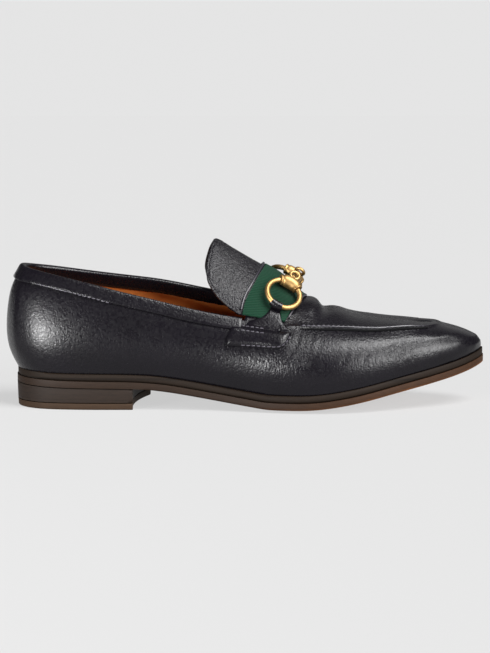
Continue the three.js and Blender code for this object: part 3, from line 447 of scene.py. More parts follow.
def lining():
    """Vegetable-tanned lining leather: warm tan, nearly matt, a little darker where hands and feet rub."""
    sizes = bpy.context.scene.loafer_upper
    material, tree, shader, place = new_material("tan_lining_leather")
    cloudy = add(tree, "TexNoise", "Fac", {"Vector": place, "Scale": 0.06 / MM, "Detail": 4.0})
    tint = add(
        tree, "Mix", "Result", {"Factor": cloudy, "A": linear("9c5624"), "B": sizes.tan}, data_type="RGBA"
    )
    pores = add(tree, "TexNoise", "Fac", {"Vector": place, "Scale": 1.8 / MM, "Detail": 2.0})
    normal = add(tree, "Bump", "Normal", {"Height": pores, "Strength": 0.3, "Distance": 0.1 * MM})
    feed(tree, shader, {"Base Color": tint, "Roughness": 0.55, "IOR": 1.48, "Normal": normal})
    return material


def sole_edge():
    """Bend leather with a burnished waxed edge: brown, with amber at the toe and faint fibres along it."""
    sizes = bpy.context.scene.loafer_sole
    material, tree, shader, place = new_material("burnished_bend_leather")
    start, end = (BACK + share * SOLE_LENGTH for share in AMBER_STARTS)
    along = add(tree, "SeparateXYZ", "X", {"Vector": place})
    toward_toe = add(
        tree, "MapRange", "Result", {"Value": along, "From Min": start, "From Max": end},
        interpolation_type="SMOOTHSTEP",
    )
    # The dye ends above the lower edge, where the leather's own amber shows
    down = add(tree, "Attribute", "Fac", {}, attribute_name="edge_down")
    worn = add(
        tree, "MapRange", "Result",
        {"Value": down, "From Min": 0.5, "From Max": 1.0, "To Min": 0.04, "To Max": 1.0},
        interpolation_type="SMOOTHSTEP",
    )
    share = add(tree, "Math", "Value", {0: toward_toe, 1: worn}, operation="MULTIPLY")
    warm = add(
        tree, "Mix", "Result", {"Factor": share, "A": sizes.brown, "B": sizes.amber}, data_type="RGBA"
    )
    drawn_out = add(tree, "Mapping", "Vector", {"Vector": place, "Scale": (0.12, 0.3, 1.0)})
    fibres = add(tree, "TexNoise", "Fac", {"Vector": drawn_out, "Scale": 1.5 / MM, "Detail": 3.0})
    shade = add(tree, "MapRange", "Result", {
        "Value": fibres, "From Min": 0.3, "From Max": 0.7, "To Min": 0.78, "To Max": 1.12,
    })
    tint = add(
        tree, "Mix", "Result", {"Factor": 1.0, "A": warm, "B": shade}, data_type="RGBA", blend_type="MULTIPLY"
    )
    normal = add(tree, "Bump", "Normal", {"Height": fibres, "Strength": 0.25, "Distance": 0.15 * MM})
    feed(tree, shader, {"Base Color": tint, "Roughness": 0.6, "IOR": 1.22, "Normal": normal})
    return material


WAVE_TURN = 2 * math.pi / 20  # a wave texture of this scale repeats once a metre


def layered_edge(name, dark, light, layer, roughness):
    """Stacked or single leather with a dyed edge, and a fine darker line between its layers."""
    material, tree, shader, place = new_material(name)
    drawn_out = add(tree, "Mapping", "Vector", {"Vector": place, "Scale": (0.15, 0.3, 1.0)})
    fibres = add(tree, "TexNoise", "Fac", {"Vector": drawn_out, "Scale": 1.1 / MM, "Detail": 3.0})
    lines = add(
        tree, "TexWave", "Fac", {"Vector": place, "Scale": WAVE_TURN / layer}, bands_direction="Z",
        wave_profile="SAW",
    )
    joint = add(tree, "MapRange", "Result", {
        "Value": lines, "From Min": 0.9, "From Max": 1.0, "To Min": 1.0, "To Max": 0.45,
    })
    dyed = add(
        tree, "Mix", "Result", {"Factor": fibres, "A": linear(dark), "B": linear(light)}, data_type="RGBA"
    )
    tint = add(
        tree, "Mix", "Result", {"Factor": 1.0, "A": dyed, "B": joint}, data_type="RGBA", blend_type="MULTIPLY"
    )
    normal = add(tree, "Bump", "Normal", {"Height": joint, "Strength": 0.3, "Distance": 0.15 * MM})
    feed(tree, shader, {"Base Color": tint, "Roughness": roughness, "IOR": 1.2, "Normal": normal})
    return material


def ribbon_weave():
    """Grosgrain: silky ribs across the ribbon's length, deep green, with a soft sheen and no gloss, and painted
    shade between the ribs with a painted highlight on their crests.

    Real ribs are about 0.7 mm apart, too fine for this view, so they are drawn coarser.
    """
    sizes = bpy.context.scene.loafer_trim
    material, tree, shader, place = new_material("grosgrain_ribbon")
    run = add(tree, "Attribute", "Fac", {}, attribute_name="ribbon_run")
    turns = add(tree, "Math", "Value", {0: run, 1: 2 * math.pi / sizes.rib}, operation="MULTIPLY")
    ribs = add(tree, "Math", "Value", {0: turns}, operation="SINE")
    threads = add(tree, "TexNoise", "Fac", {"Vector": place, "Scale": 2.4 / MM, "Detail": 2.0})
    # The colour follows the ribs: darker in the troughs, painted shade, and a little lighter on the crests,
    # painted highlight.
    shade = add(tree, "MapRange", "Result", {
        "Value": ribs, "From Min": -1.0, "From Max": 1.0, "To Min": 0.7, "To Max": 1.08,
    })
    tint = add(
        tree, "Mix", "Result", {"Factor": 1.0, "A": sizes.green, "B": shade}, data_type="RGBA",
        blend_type="MULTIPLY",
    )
    ribbed = add(tree, "Bump", "Normal", {"Height": ribs, "Strength": 0.9, "Distance": 0.22 * MM})
    normal = add(tree, "Bump", "Normal", {
        "Height": threads, "Strength": 0.3, "Distance": 0.1 * MM, "Normal": ribbed,
    })
    feed(tree, shader, {
        "Base Color": tint, "Roughness": 0.85, "IOR": 1.2, "Sheen Weight": 0.03, "Sheen Roughness": 0.4,
        "Normal": normal,
    })
    return material


def antique_brass():
    """Cast brass, polished and aged: warm yellow faces, browner in spots, small casting waves in the gloss."""
    sizes = bpy.context.scene.loafer_trim
    material, tree, shader, place = new_material("antique_brass")
    aged = add(tree, "TexNoise", "Fac", {"Vector": place, "Scale": 0.3 / MM, "Detail": 4.0})
    tint = add(
        tree, "Mix", "Result", {"Factor": aged, "A": linear("80643d"), "B": sizes.brass}, data_type="RGBA"
    )
    gloss = add(tree, "MapRange", "Result", {"Value": aged, "To Min": 0.42, "To Max": 0.58})
    normal = add(tree, "Bump", "Normal", {"Height": aged, "Strength": 0.15, "Distance": 0.1 * MM})
    feed(tree, shader, {"Base Color": tint, "Metallic": 1.0, "Roughness": gloss, "Normal": normal})
    return material


def seam_roll():
    """Calf drawn over a seam and burnished smooth, for the seam's roll and the piping, its colour painted
    lighter than the calf's as a painted highlight, so that it carries one thin unbroken light.
    """
    material, tree, shader, place = new_material("calf_roll_painted_highlight")
    rubbed = add(tree, "TexNoise", "Fac", {"Vector": place, "Scale": 0.12 / MM, "Detail": 2.0})
    gloss = add(tree, "MapRange", "Result", {"Value": rubbed, "To Min": 0.24, "To Max": 0.42})
    # The base colour is a painted highlight: much lighter than the calf's black.
    feed(tree, shader, {"Base Color": linear("1c1a20"), "Roughness": gloss, "IOR": 1.55})
    return material


def painted_seam_shadow():
    """A matt black tube under the seam's roll: painted shade, which reads as a dark line of shadow under the
    seam.
    """
    material, tree, shader, place = new_material("matt_black_painted_shadow")
    fibres = add(tree, "TexNoise", "Fac", {"Vector": place, "Scale": 1.5 / MM, "Detail": 2.0})
    normal = add(tree, "Bump", "Normal", {"Height": fibres, "Strength": 0.6, "Distance": 0.2 * MM})
    feed(tree, shader, {"Base Color": linear("050506"), "Roughness": 0.9, "IOR": 1.2, "Normal": normal})
    return material


def waxed_thread():
    """Waxed polyester thread, black and a little glossy, so that each stitch catches a small light."""
    material, tree, shader, place = new_material("waxed_black_thread")
    twist = add(
        tree, "TexWave", "Fac", {"Vector": place, "Scale": 0.9 / MM}, bands_direction="DIAGONAL"
    )
    normal = add(tree, "Bump", "Normal", {"Height": twist, "Strength": 0.4, "Distance": 0.1 * MM})
    feed(tree, shader, {"Base Color": linear("37343b"), "Roughness": 0.4, "Normal": normal})
    return material


# The stage

CAMERA_PLACE = Vector((-0.00003, -1.5182, 0.25))
CAMERA_PITCH = math.radians(7.575)
LENS_MM = 133.2
PAPER = (0.085, 0.085, 0.085, 1.0)
PAPER_GLOW = 0.57
ROOM_LIGHT = 0.08
# name, from where, how wide, power
SILKS = (
    ("overhead_silk", (0.42, -0.33, 0.84), math.radians(34), 6.6),
    ("toe_side_silk", (0.7, -0.64, 0.3), math.radians(28), 4.2),
    ("back_silk", (0.2, 0.84, 0.5), math.radians(40), 0.13),
)
SWEEP_START, SWEEP_DEPTH, SWEEP_RISE, SWEEP_WIDTH = 4.0, 30.0, 1.2, 8
WHITE = (1.0, 1.0, 1.0, 1.0)
# name, place, aimed at, width, height, power
SOFT_BOXES = (
    ("heel_box", (-1.0, -1.12, 0.2), (-0.12, 0, 0.06), 0.5, 0.34, 42.0),
)


def aim_lamp(data, place, target):
    lamp = bpy.data.objects.new(data.name, data)
    bpy.context.scene.collection.objects.link(lamp)
    lamp.location = place
    lamp.rotation_euler = (target - place).to_track_quat("-Z", "Y").to_euler()


def studio_floor():
    """A wide floor whose far part rises gently, so that it fills the view up to the top."""
    bpy.ops.object.select_all(action="DESELECT")
    bpy.ops.mesh.primitive_plane_add(size=2 * SWEEP_START)
    floor = bpy.context.object
    floor.name = "floor"
    deselect_mesh("EDGE")
    for edge in floor.data.edges:
        ends = [floor.data.vertices[i].co for i in edge.vertices]
        edge.select = all(end.y > 0 for end in ends)
    with edit_mode():
        bpy.ops.mesh.extrude_region_move(TRANSFORM_OT_translate={"value": (0, SWEEP_DEPTH, SWEEP_RISE)})
        bpy.ops.transform.resize(value=(SWEEP_WIDTH, 1, 1))
    return floor


class LOAFER_OT_stage(bpy.types.Operator):
    """Makes the pale floor, the soft lights and the camera at the photo's angle"""

    bl_idname = "loafer.stage"
    bl_label = "Stage"

    def execute(self, context):
        scene = context.scene
        camera = bpy.data.objects.new("camera", bpy.data.cameras.new("camera"))
        scene.collection.objects.link(camera)
        camera.location = CAMERA_PLACE
        camera.rotation_euler = (math.pi / 2 - CAMERA_PITCH, 0, 0)
        camera.data.lens = LENS_MM
        camera.data.sensor_width = 36
        scene.camera = camera

        floor = studio_floor()
        material, tree, shader, _ = new_material("pale_paper_sweep")
        # A little of the paper's light is its own, so that shadows stay as open as under wide lamps
        feed(tree, shader, {
            "Base Color": PAPER, "Roughness": 0.95, "Specular IOR Level": 0.1,
            "Emission Color": WHITE, "Emission Strength": PAPER_GLOW,
        })
        floor.data.materials.append(material)

        world = bpy.data.worlds.new("studio")
        world.use_nodes = True
        feed(world.node_tree, world.node_tree.nodes["Background"], {"Color": WHITE, "Strength": ROOM_LIGHT})
        scene.world = world
        scene.view_settings.view_transform = "Standard"

        for name, place, width, power in SILKS:
            silk = bpy.data.lights.new(name, "SUN")
            silk.energy = power
            silk.angle = width
            aim_lamp(silk, Vector(place), Vector((0, 0, 0)))
        for name, place, target, width, height, power in SOFT_BOXES:
            data = bpy.data.lights.new(name, "AREA")
            data.shape = "RECTANGLE"
            data.size = width
            data.size_y = height
            data.energy = power
            aim_lamp(data, Vector(place), Vector(target))
        return {"FINISHED"}


# The sole


EDGE_STATIONS = 48  # places along the sole at which its edge's height is taken
ONE_PIECE = 20 * MM  # a layer thicker than the piece, so that no line shows
SOLE_SHARP, SOLE_CREASE = 50, 0.85


def mark_down(piece):
    """Keeps, at each point of the outsole, how far down its edge it lies: 0 at the top, 1 at the bottom."""
    columns = [[] for _ in range(EDGE_STATIONS + 1)]
    for vertex in piece.data.vertices:
        columns[round((vertex.co.x - BACK) / SOLE_LENGTH * EDGE_STATIONS)].append(vertex.co.z)
    table = [
        (BACK + SOLE_LENGTH * i / EDGE_STATIONS, min(heights), max(heights))
        for i, heights in enumerate(columns) if heights
    ]

    def down(place):
        low, high = between(table, place.x, 1), between(table, place.x, 2)
        return min(max((high - place.z) / (high - low), 0), 1)

    keep(piece, "edge_down", down)


class LOAFER_OT_sole(bpy.types.Operator):
    """Makes outsole, middle sole, stacked heel, top lift and insole"""

    bl_idname = "loafer.sole"
    bl_label = "Sole and heel"

    def execute(self, context):
        sizes = context.scene.loafer_sole
        middle = layered_edge("waxed_midsole_edge", "110c08", "1a120c", ONE_PIECE, 0.68)
        stack = layered_edge("stacked_heel_leather", "16110e", "221a15", sizes.layer, 0.62)
        lift = layered_edge("heel_top_lift", "221811", "302318", ONE_PIECE, 0.7)
        rows = (
            ("outsole", sole_edge(), "outsole"),
            ("midsole", middle, "midsole"),
            ("heel_stack", stack, "heel_stack"),
            ("top_lift", lift, "top_lift"),
            ("insole", lining(), "lining"),
        )
        for node, material, slot in rows:
            piece = copy_of(node, sharp=SOLE_SHARP, crease=SOLE_CREASE)
            subdivide(piece, 2)
            if node == "outsole":
                mark_down(piece)
            finish_piece(piece, material, node)
        return {"FINISHED"}


# The upper


RIM_ANGLE = math.radians(50)


def line_inside(piece):
    """Gives the inner skin of the upper's wall its own material, up to the wall's sharp rims."""
    inner = min(
        (face for face in piece.data.polygons if face.normal.x > 0.8),
        key=lambda face: abs(face.center.y - MIDDLE_Y) + abs(face.center.x - BACK),
    ).index
    only(piece)
    deselect_mesh("EDGE")
    with edit_mode():
        bpy.ops.mesh.edges_select_sharp(sharpness=RIM_ANGLE)
        bpy.ops.mesh.mark_sharp()
    deselect_mesh("FACE")
    piece.data.polygons[inner].select = True
    with edit_mode():
        bpy.ops.mesh.select_linked(delimit={"SHARP"})
        piece.active_material_index = 1
        bpy.ops.object.material_slot_assign()
        bpy.ops.mesh.select_all(action="SELECT")
        bpy.ops.mesh.mark_sharp(clear=True)


# Walking creases on the side of the vamp: depth as a share of the deepest, width in mm, and a route whose
# points are shares of the sole's length from the back and of the upper's height
SIDE_CREASES = (
    (0.75, 1.4, ((0.603, 0.575), (0.599, 0.513), (0.588, 0.433), (0.574, 0.362))),
    (0.6, 1.3, ((0.616, 0.57), (0.612, 0.5), (0.603, 0.422), (0.592, 0.36))),
    (0.45, 1.4, ((0.631, 0.57), (0.626, 0.513), (0.619, 0.44))),
    (0.6, 1.3, ((0.589, 0.5), (0.58, 0.422), (0.566, 0.353), (0.551, 0.3))),
    (0.45, 1.3, ((0.571, 0.42), (0.556, 0.353), (0.538, 0.3))),
    (0.35, 1.4, ((0.65, 0.56), (0.645, 0.49), (0.637, 0.42))),
    (0.35, 1.4, ((0.794, 0.376), (0.81, 0.42), (0.826, 0.464))),
    (0.35, 1.4, ((0.806, 0.36), (0.821, 0.4), (0.838, 0.446))),
    (0.3, 1.4, ((0.78, 0.396), (0.795, 0.445), (0.811, 0.49))),
    (0.3, 1.6, ((0.73, 0.35), (0.742, 0.42), (0.751, 0.49))),
    (0.3, 1.6, ((0.69, 0.34), (0.699, 0.42), (0.704, 0.5))),
)
# Creases over the top of the vamp: points are shares of the sole's length and of the upper's half width, and a
# depth below zero is a fold that stands up
TOP_CREASES = (
    (-3.4, 5.0, ((0.622, -0.5), (0.632, -0.2), (0.634, 0.1), (0.624, 0.5))),
    (1.3, 3.2, ((0.645, -0.5), (0.658, -0.16), (0.659, 0.18), (0.643, 0.52))),
    (-1.2, 4.5, ((0.682, -0.44), (0.691, -0.1), (0.69, 0.2), (0.678, 0.5))),
    (0.5, 4.0, ((0.728, -0.36), (0.738, 0.0), (0.73, 0.4))),
)
INNER_SIDE = 0.8  # how deep the inner side's creases are beside the outer side's
FINE_FROM, FINE_TO = 0.53, 0.9  # shares of the sole's length between which the mesh is finer


def refine_vamp(piece):
    """Cuts the vamp's faces finer, so that narrow creases show."""
    only(piece)
    deselect_mesh("FACE")
    for face in piece.data.polygons:
        share = (face.center.x - BACK) / SOLE_LENGTH
        face.select = face.material_index == 0 and FINE_FROM < share < FINE_TO
    with edit_mode():
        bpy.ops.mesh.subdivide(number_cuts=1, smoothness=0.6)


def routed(hits):
    """A smooth route through points on a surface, and the mean of their normals."""
    outward = sum((normal for _, normal in hits), Vector()).normalized()
    return smooth_route([point for point, _ in hits], 4), outward


def press_creases(piece):
    deepest = bpy.context.scene.loafer_upper.crease_depth
    surface = surface_of(piece)
    _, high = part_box("upper")
    for side, strength in ((-1, 1.0), (1, INNER_SIDE)):
        for depth, width, points in SIDE_CREASES:
            hits = [from_side(surface, side, BACK + x * SOLE_LENGTH, z * high.z) for x, z in points]
            crease(piece, *routed(hits), deepest * depth * strength, width * MM)
    for depth, width, points in TOP_CREASES:
        hits = [from_above(surface, BACK + x * SOLE_LENGTH, y * high.y) for x, y in points]
        crease(piece, *routed(hits), deepest * depth, width * MM)


# Where the calf is drawn into fine wrinkles: shares of the sole's length and the upper's height, a reach in mm,
# and how strongly
FLEXED = (
    (0.595, 0.45, 13, 1.0), (0.57, 0.36, 12, 0.8), (0.65, 0.5, 14, 0.6), (0.81, 0.4, 14, 0.5),
    (0.73, 0.42, 16, 0.4),
)


def mark_flexed(piece):
    """Keeps, at each point, how finely the calf is wrinkled there."""
    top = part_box("upper")[1].z
    spots = [(BACK + x * SOLE_LENGTH, z * top, reach * MM, strength) for x, z, reach, strength in FLEXED]
    keep(piece, "flexed", lambda place: max(
        strength * math.exp(-((place.x - x) ** 2 + (place.z - z) ** 2) / reach**2)
        for x, z, reach, strength in spots
    ))


class LOAFER_OT_upper(bpy.types.Operator):
    """Makes the upper with its creases, and lines it"""

    bl_idname = "loafer.upper"
    bl_label = "Upper"

    def execute(self, context):
        piece = copy_of("upper", sharp=24, crease=0.6)
        piece.data.materials.append(calf())
        piece.data.materials.append(lining())
        line_inside(piece)
        subdivide(piece, 2)
        refine_vamp(piece)
        press_creases(piece)
        mark_flexed(piece)
        finish_piece(piece, node="upper")
        return {"FINISHED"}


TURN_REACH = 1.3 * MM  # how wide the turned edge of the tongue is
TURN_LIFT = 0.3 * MM
# The turned edge's roll and groove: place in reaches, narrowness and height
TURN_ROLL, TURN_GROOVE = (0.5, 7, 1.0), (1.15, 30, -1.1)
RIM_SHARP = 60


def sharp_edges(piece, angle):
    """The end points of a piece's sharp edges."""
    only(piece)
    deselect_mesh("EDGE")
    with edit_mode():
        bpy.ops.mesh.edges_select_sharp(sharpness=math.radians(angle))
    corners = [vertex.co.copy() for vertex in piece.data.vertices]
    return [[corners[i] for i in edge.vertices] for edge in piece.data.edges if edge.select]


def turn_edge(piece, edges, reach, lift):
    """Raises a rolled border along a piece's edges, with a fine groove inside it."""
    normals = [vertex.normal.copy() for vertex in piece.data.vertices]
    for vertex, normal in zip(piece.data.vertices, normals):
        gap = min(distance_to_route(vertex.co, edge)[0] for edge in edges) / reach
        if gap < 2:
            vertex.co += normal * lift * sum(
                height * math.exp(-((gap - place) ** 2) * narrowness)
                for place, narrowness, height in (TURN_ROLL, TURN_GROOVE)
            )


TIP_REACH = 14 * MM
TIP_LIFT = 2.4 * MM
TONGUE_WRINKLES = 0.9


def draw_tip(piece):
    """Draws the tongue's top up to a blunt point."""
    top = max(vertex.co.z for vertex in piece.data.vertices)
    for vertex in piece.data.vertices:
        share = 1 - (top - vertex.co.z) / TIP_REACH
        if share > 0:
            vertex.co.z += TIP_LIFT * share * share


class LOAFER_OT_edges(bpy.types.Operator):
    """Makes the collar's binding and the tongue with its turned edge"""

    bl_idname = "loafer.edges"
    bl_label = "Collar and tongue"

    def execute(self, context):
        material = bpy.data.materials["glazed_box_calf"]
        band = copy_of("collar_band", sharp=RIM_SHARP, crease=0.5)
        subdivide(band, 2)
        tongue = copy_of("tongue")
        edges = sharp_edges(tongue, RIM_SHARP)
        subdivide(tongue, 3)
        turn_edge(tongue, edges, TURN_REACH, TURN_LIFT)
        draw_tip(tongue)
        keep(tongue, "flexed", lambda place: TONGUE_WRINKLES)
        for piece, node in ((band, "collar_band"), (tongue, "tongue")):
            finish_piece(piece, material, node)
        return {"FINISHED"}


# The ribbon's bend: its middle line and radius as shares of the ribbon's width across the shoe
BEND_DOWN, BEND_RADIUS = 0.62, 0.55


class LOAFER_OT_ribbon(bpy.types.Operator):
    """Makes the ribbed ribbon and the piping along its two edges"""

    bl_idname = "loafer.ribbon"
    bl_label = "Ribbon and piping"

    def execute(self, context):
        low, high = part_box("instep_band")
        piece = copy_of("instep_band", "loafer_ribbon", sharp=50, crease=0.8)
        subdivide(piece, 3)
        width = high.y - low.y
        axis_y, axis_z = (low.y + high.y) / 2, high.z - width * BEND_DOWN
        keep(piece, "ribbon_run", lambda place: (
            width * BEND_RADIUS * math.atan2(place.y - axis_y, place.z - axis_z)
        ))
        finish_piece(piece, ribbon_weave(), "instep_band")
        # The piping gets the roll's material, whose lighter colour is a painted highlight.
        roll = seam_roll()
        for node in ("piping_rear", "piping_front"):
            cord = copy_of(node)
            subdivide(cord, 2)
            finish_piece(cord, roll, node)
        return {"FINISHED"}


# An ear's outline: shares of its solid's box along x, and up to its low and its high edge
EAR_ROWS = (
    (0.015, 0.107, 0.32), (0.065, 0.105, 0.46), (0.116, 0.104, 0.615), (0.256, 0.102, 0.675),
    (0.362, 0.098, 0.712), (0.46, 0.094, 0.752), (0.578, 0.086, 0.815), (0.643, 0.08, 0.885),
    (0.7, 0.078, 0.985), (0.722, 0.076, 1.08), (0.74, 0.075, 1.14), (0.85, 0.085, 1.14),
    (0.866, 0.095, 0.9), (0.88, 0.1, 0.75), (0.915, 0.14, 0.65), (0.97, 0.22, 0.56),
    (1.02, 0.35, 0.5), (1.04, 0.42, 0.455),
)
# Where the padded box ends and the flat point above it begins
EAR_SEAM = ((0.0, 0.6), (0.256, 0.582), (0.374, 0.556), (0.625, 0.51), (1.04, 0.448))
EAR_THICK, EAR_SUNK = 1.3 * MM, 0.3 * MM
EAR_THIN = 0.35  # the edge's share of the thickness
EAR_PAD, EAR_PAD_REACH, EAR_ROUND = 1.5 * MM, 3.2 * MM, 1.0 * MM
EAR_GROOVE, EAR_GROOVE_WIDTH = 0.7 * MM, 0.7 * MM
EAR_COLUMNS, EAR_LINES, EAR_SMOOTHING = 84, 34, 8


def height_at(line, x):
    """A line's height at a place along the shoe."""
    return between([(point.x, point.z) for point in line], x, 1)


def ear_height(x, z, outline, seam):
    """How far an ear stands out from the shoe at a place in the side view."""
    spot = Vector((x, 0, z))
    border = distance_to_route(spot, outline)[0]
    edge = min(border / EAR_ROUND, 1)
    height = EAR_THICK * (EAR_THIN + (1 - EAR_THIN) * math.sin(edge * math.pi / 2))
    to_seam = distance_to_route(spot, seam)[0]
    if z < height_at(seam, x):
        swell = min(min(border, to_seam) / EAR_PAD_REACH, 1)
        height += EAR_PAD * math.sin(swell * math.pi / 2)
    return height - EAR_GROOVE * math.exp(-((to_seam / EAR_GROOVE_WIDTH) ** 2))


def ear_lines(node):
    """An ear's lower outline, upper outline and seam in the side view."""
    low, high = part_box(node)
    lines = (
        [(x, below) for x, below, _ in EAR_ROWS], [(x, above) for x, _, above in EAR_ROWS], EAR_SEAM,
    )
    return [
        [Vector((low.x + x * (high.x - low.x), 0, low.z + z * (high.z - low.z))) for x, z in line]
        for line in lines
    ]


FIELD_CELL = 1.0 * MM  # spacing at which the shoe's depth is taken under an ear


def depth_field(surface, side, outline):
    """How far out the shoe lies under an outline in the side view, smoothed over its small steps."""
    low_x, low_z = (min(point[axis] for point in outline) for axis in (0, 2))
    high_x, high_z = (max(point[axis] for point in outline) for axis in (0, 2))
    columns = math.ceil((high_x - low_x) / FIELD_CELL) + 1
    rows = math.ceil((high_z - low_z) / FIELD_CELL) + 1
    depth = []
    for j in range(rows):
        line = []
        for i in range(columns):
            point, _ = from_side(surface, side, low_x + i * FIELD_CELL, low_z + j * FIELD_CELL)
            line.append(point.y if point else depth[-1][i])
        depth.append(line)
    for _ in range(EAR_SMOOTHING):
        for j in range(1, rows - 1):
            for i in range(1, columns - 1):
                around = depth[j][i - 1] + depth[j][i + 1] + depth[j - 1][i] + depth[j + 1][i]
                depth[j][i] = around / 4

    def at(x, z):
        across = min(max((x - low_x) / FIELD_CELL, 0), columns - 1.001)
        up = min(max((z - low_z) / FIELD_CELL, 0), rows - 1.001)
        i, j = int(across), int(up)
        s, t = across - i, up - j
        lower = depth[j][i] * (1 - s) + depth[j][i + 1] * s
        upper = depth[j + 1][i] * (1 - s) + depth[j + 1][i + 1] * s
        return lower * (1 - t) + upper * t

    return at


def ear(side, node, surface):
    """A padded leather side piece whose point runs up under the ring's keeper."""
    bottom, top, seam = ear_lines(node)
    outline = [*bottom, *reversed(top), bottom[0]]
    bpy.ops.object.select_all(action="DESELECT")
    bpy.ops.mesh.primitive_grid_add(x_subdivisions=EAR_COLUMNS, y_subdivisions=EAR_LINES, size=1)
    piece = bpy.context.object
    piece.name = "loafer_" + node
    columns = EAR_COLUMNS + 1
    field = depth_field(surface, side, outline)
    for i, vertex in enumerate(piece.data.vertices):
        line, column = divmod(i, columns)
        x = bottom[0].x + (bottom[-1].x - bottom[0].x) * column / EAR_COLUMNS
        below = height_at(bottom, x)
        z = below + (height_at(top, x) - below) * line / EAR_LINES
        vertex.co = (x, field(x, z), z)
    piece.data.update()
    normals = [vertex.normal * (1 if vertex.normal.y * side > 0 else -1) for vertex in piece.data.vertices]
    for vertex, normal in zip(piece.data.vertices, normals):
        vertex.co += normal * ear_height(vertex.co.x, vertex.co.z, outline, seam)
    if piece.data.vertices[0].normal.y * side < 0:
        edit_all(piece, bpy.ops.mesh.flip_normals)
    apply_modifier(piece, "SOLIDIFY", {"thickness": EAR_THICK + EAR_SUNK, "offset": -1.0})
    return piece


class LOAFER_OT_ears(bpy.types.Operator):
    """Makes the leather ears and the keepers round the rings"""

    bl_idname = "loafer.ears"
    bl_label = "Ears and keepers"

    def execute(self, context):
        objects = bpy.data.objects
        surface = surface_of(
            objects["loafer_upper"], objects["loafer_ribbon"], objects["loafer_collar_band"],
            objects["loafer_piping_front"],
        )
        material = bpy.data.materials["glazed_box_calf"]
        for side, name in ((-1, "lateral"), (1, "medial")):
            piece = ear(side, "ear_" + name, surface)
            finish_piece(piece, material, "ear_" + name)
            node = "keeper_" + name
            keeper = copy_of(node, sharp=50, crease=0.7)
            subdivide(keeper, 2)
            finish_piece(keeper, material, node)
        return {"FINISHED"}


RING_WIRE = 1.6 * MM
CHEEK_HALF = 6.9 * MM
# A cheek's profile: share of the way from its middle to an end, and its radius in mm
CHEEK_PROFILE = (
    (0.0, 4.1), (0.3, 4.05), (0.55, 3.85), (0.72, 3.5), (0.78, 3.0), (0.81, 3.2), (0.87, 3.45),
    (0.93, 3.4), (0.98, 3.0), (1.0, 1.7),
)
EYE_RADIUS, EYE_WIRE = 2.8 * MM, 1.05 * MM
LINK_SWELL = 0.25 * MM  # what smoothing took off the link's wire


def centre_of(node):
    low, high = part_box(node)
    return (low + high) / 2


def ring_frame(node):
    """A ring's centre, the normal of its plane and its middle radius, from its solid."""
    points = [vertex.co for vertex in frame["nodes"][node].data.vertices]
    centre = sum(points, Vector()) / len(points)
    far = max(points, key=lambda point: (point - centre).length) - centre
    normal = max(
        (far.cross(point - centre) for point in points), key=lambda product: product.length
    ).normalized()
    return centre, normal, far.length - RING_WIRE


def torus(name, centre, normal, radius, wire, around=64, section=16):
    bpy.ops.object.select_all(action="DESELECT")
    bpy.ops.mesh.primitive_torus_add(
        major_radius=radius, minor_radius=wire, major_segments=around, minor_segments=section,
        location=centre, rotation=normal.to_track_quat("Z", "Y").to_euler(),
    )
    piece = bpy.context.object
    piece.name = name
    bpy.ops.object.transform_apply(location=True, rotation=True, scale=True)
    return piece


def cheek(name, centre, normal, radius, toward):
    """A barrel bent along its ring, with a bead at each end."""
    out = (toward - normal * toward.dot(normal)).normalized()
    around = normal.cross(out)
    places, radii = [], []
    profile = [(-share, size) for share, size in reversed(CHEEK_PROFILE[1:])] + list(CHEEK_PROFILE)
    for share, size in profile:
        turn = share * CHEEK_HALF / radius
        places.append(centre + radius * (math.cos(turn) * out + math.sin(turn) * around))
        radii.append(size * MM)
    piece = joined(name, [tube(places, radii, 24)])
    subdivide(piece, 1)
    return piece, out


class LOAFER_OT_bit(bpy.types.Operator):
    """Makes the bit: two rings, two cheeks with their eyes and the link between them"""

    bl_idname = "loafer.bit"
    bl_label = "Bit"

    def execute(self, context):
        brass = antique_brass()
        for side in ("lateral", "medial"):
            centre, normal, radius = ring_frame("ring_" + side)
            ring = torus("loafer_ring_" + side, centre, normal, radius, RING_WIRE)
            barrel, out = cheek(
                "loafer_cheek_" + side, centre, normal, radius, centre_of("cheek_" + side) - centre
            )
            eye_centre = centre + out * (radius + CHEEK_PROFILE[0][1] * MM + EYE_RADIUS)
            eye = torus("eye_" + side, eye_centre, normal, EYE_RADIUS, EYE_WIRE, 32, 12)
            only(barrel)
            eye.select_set(True)
            bpy.ops.object.join()
            for piece, node in ((ring, "ring_" + side), (barrel, "cheek_" + side)):
                finish_piece(piece, brass, node)
        link = copy_of("centre_link")
        subdivide(link, 2)
        for vertex, normal in [(vertex, vertex.normal.copy()) for vertex in link.data.vertices]:
            vertex.co += normal * LINK_SWELL
        finish_piece(link, brass, "centre_link")
        return {"FINISHED"}


# Shares of the sole's length: where the apron's seam comes free, its middle, the vamp's middle, where it fades
SEAM_FROM, SEAM_MIDDLE, VAMP_MIDDLE, SEAM_TO = 0.6, 0.7, 0.72, 0.875
SEAM_ANGLES = math.radians(32.5), math.radians(88)
SEAM_STEP, SEAM_TAPER = 1.6 * MM, 12
ROLL_RADIUS = 0.55 * MM
# The painted shadow line under the roll: its radius, how far out and down it lies, and how far it stands proud
SHADOW_LINE_RADIUS = 0.9 * MM
SHADOW_LINE_OUT, SHADOW_LINE_DOWN = 1.2 * MM, 1.6 * MM
SHADOW_LINE_PROUD = 0.35 * MM
SEAM_INSET = 1.5 * MM
EAR_STITCHES = 1.5 * MM, -1.3 * MM, 1.0 * MM  # above the ear's bottom, under its seam, above its seam


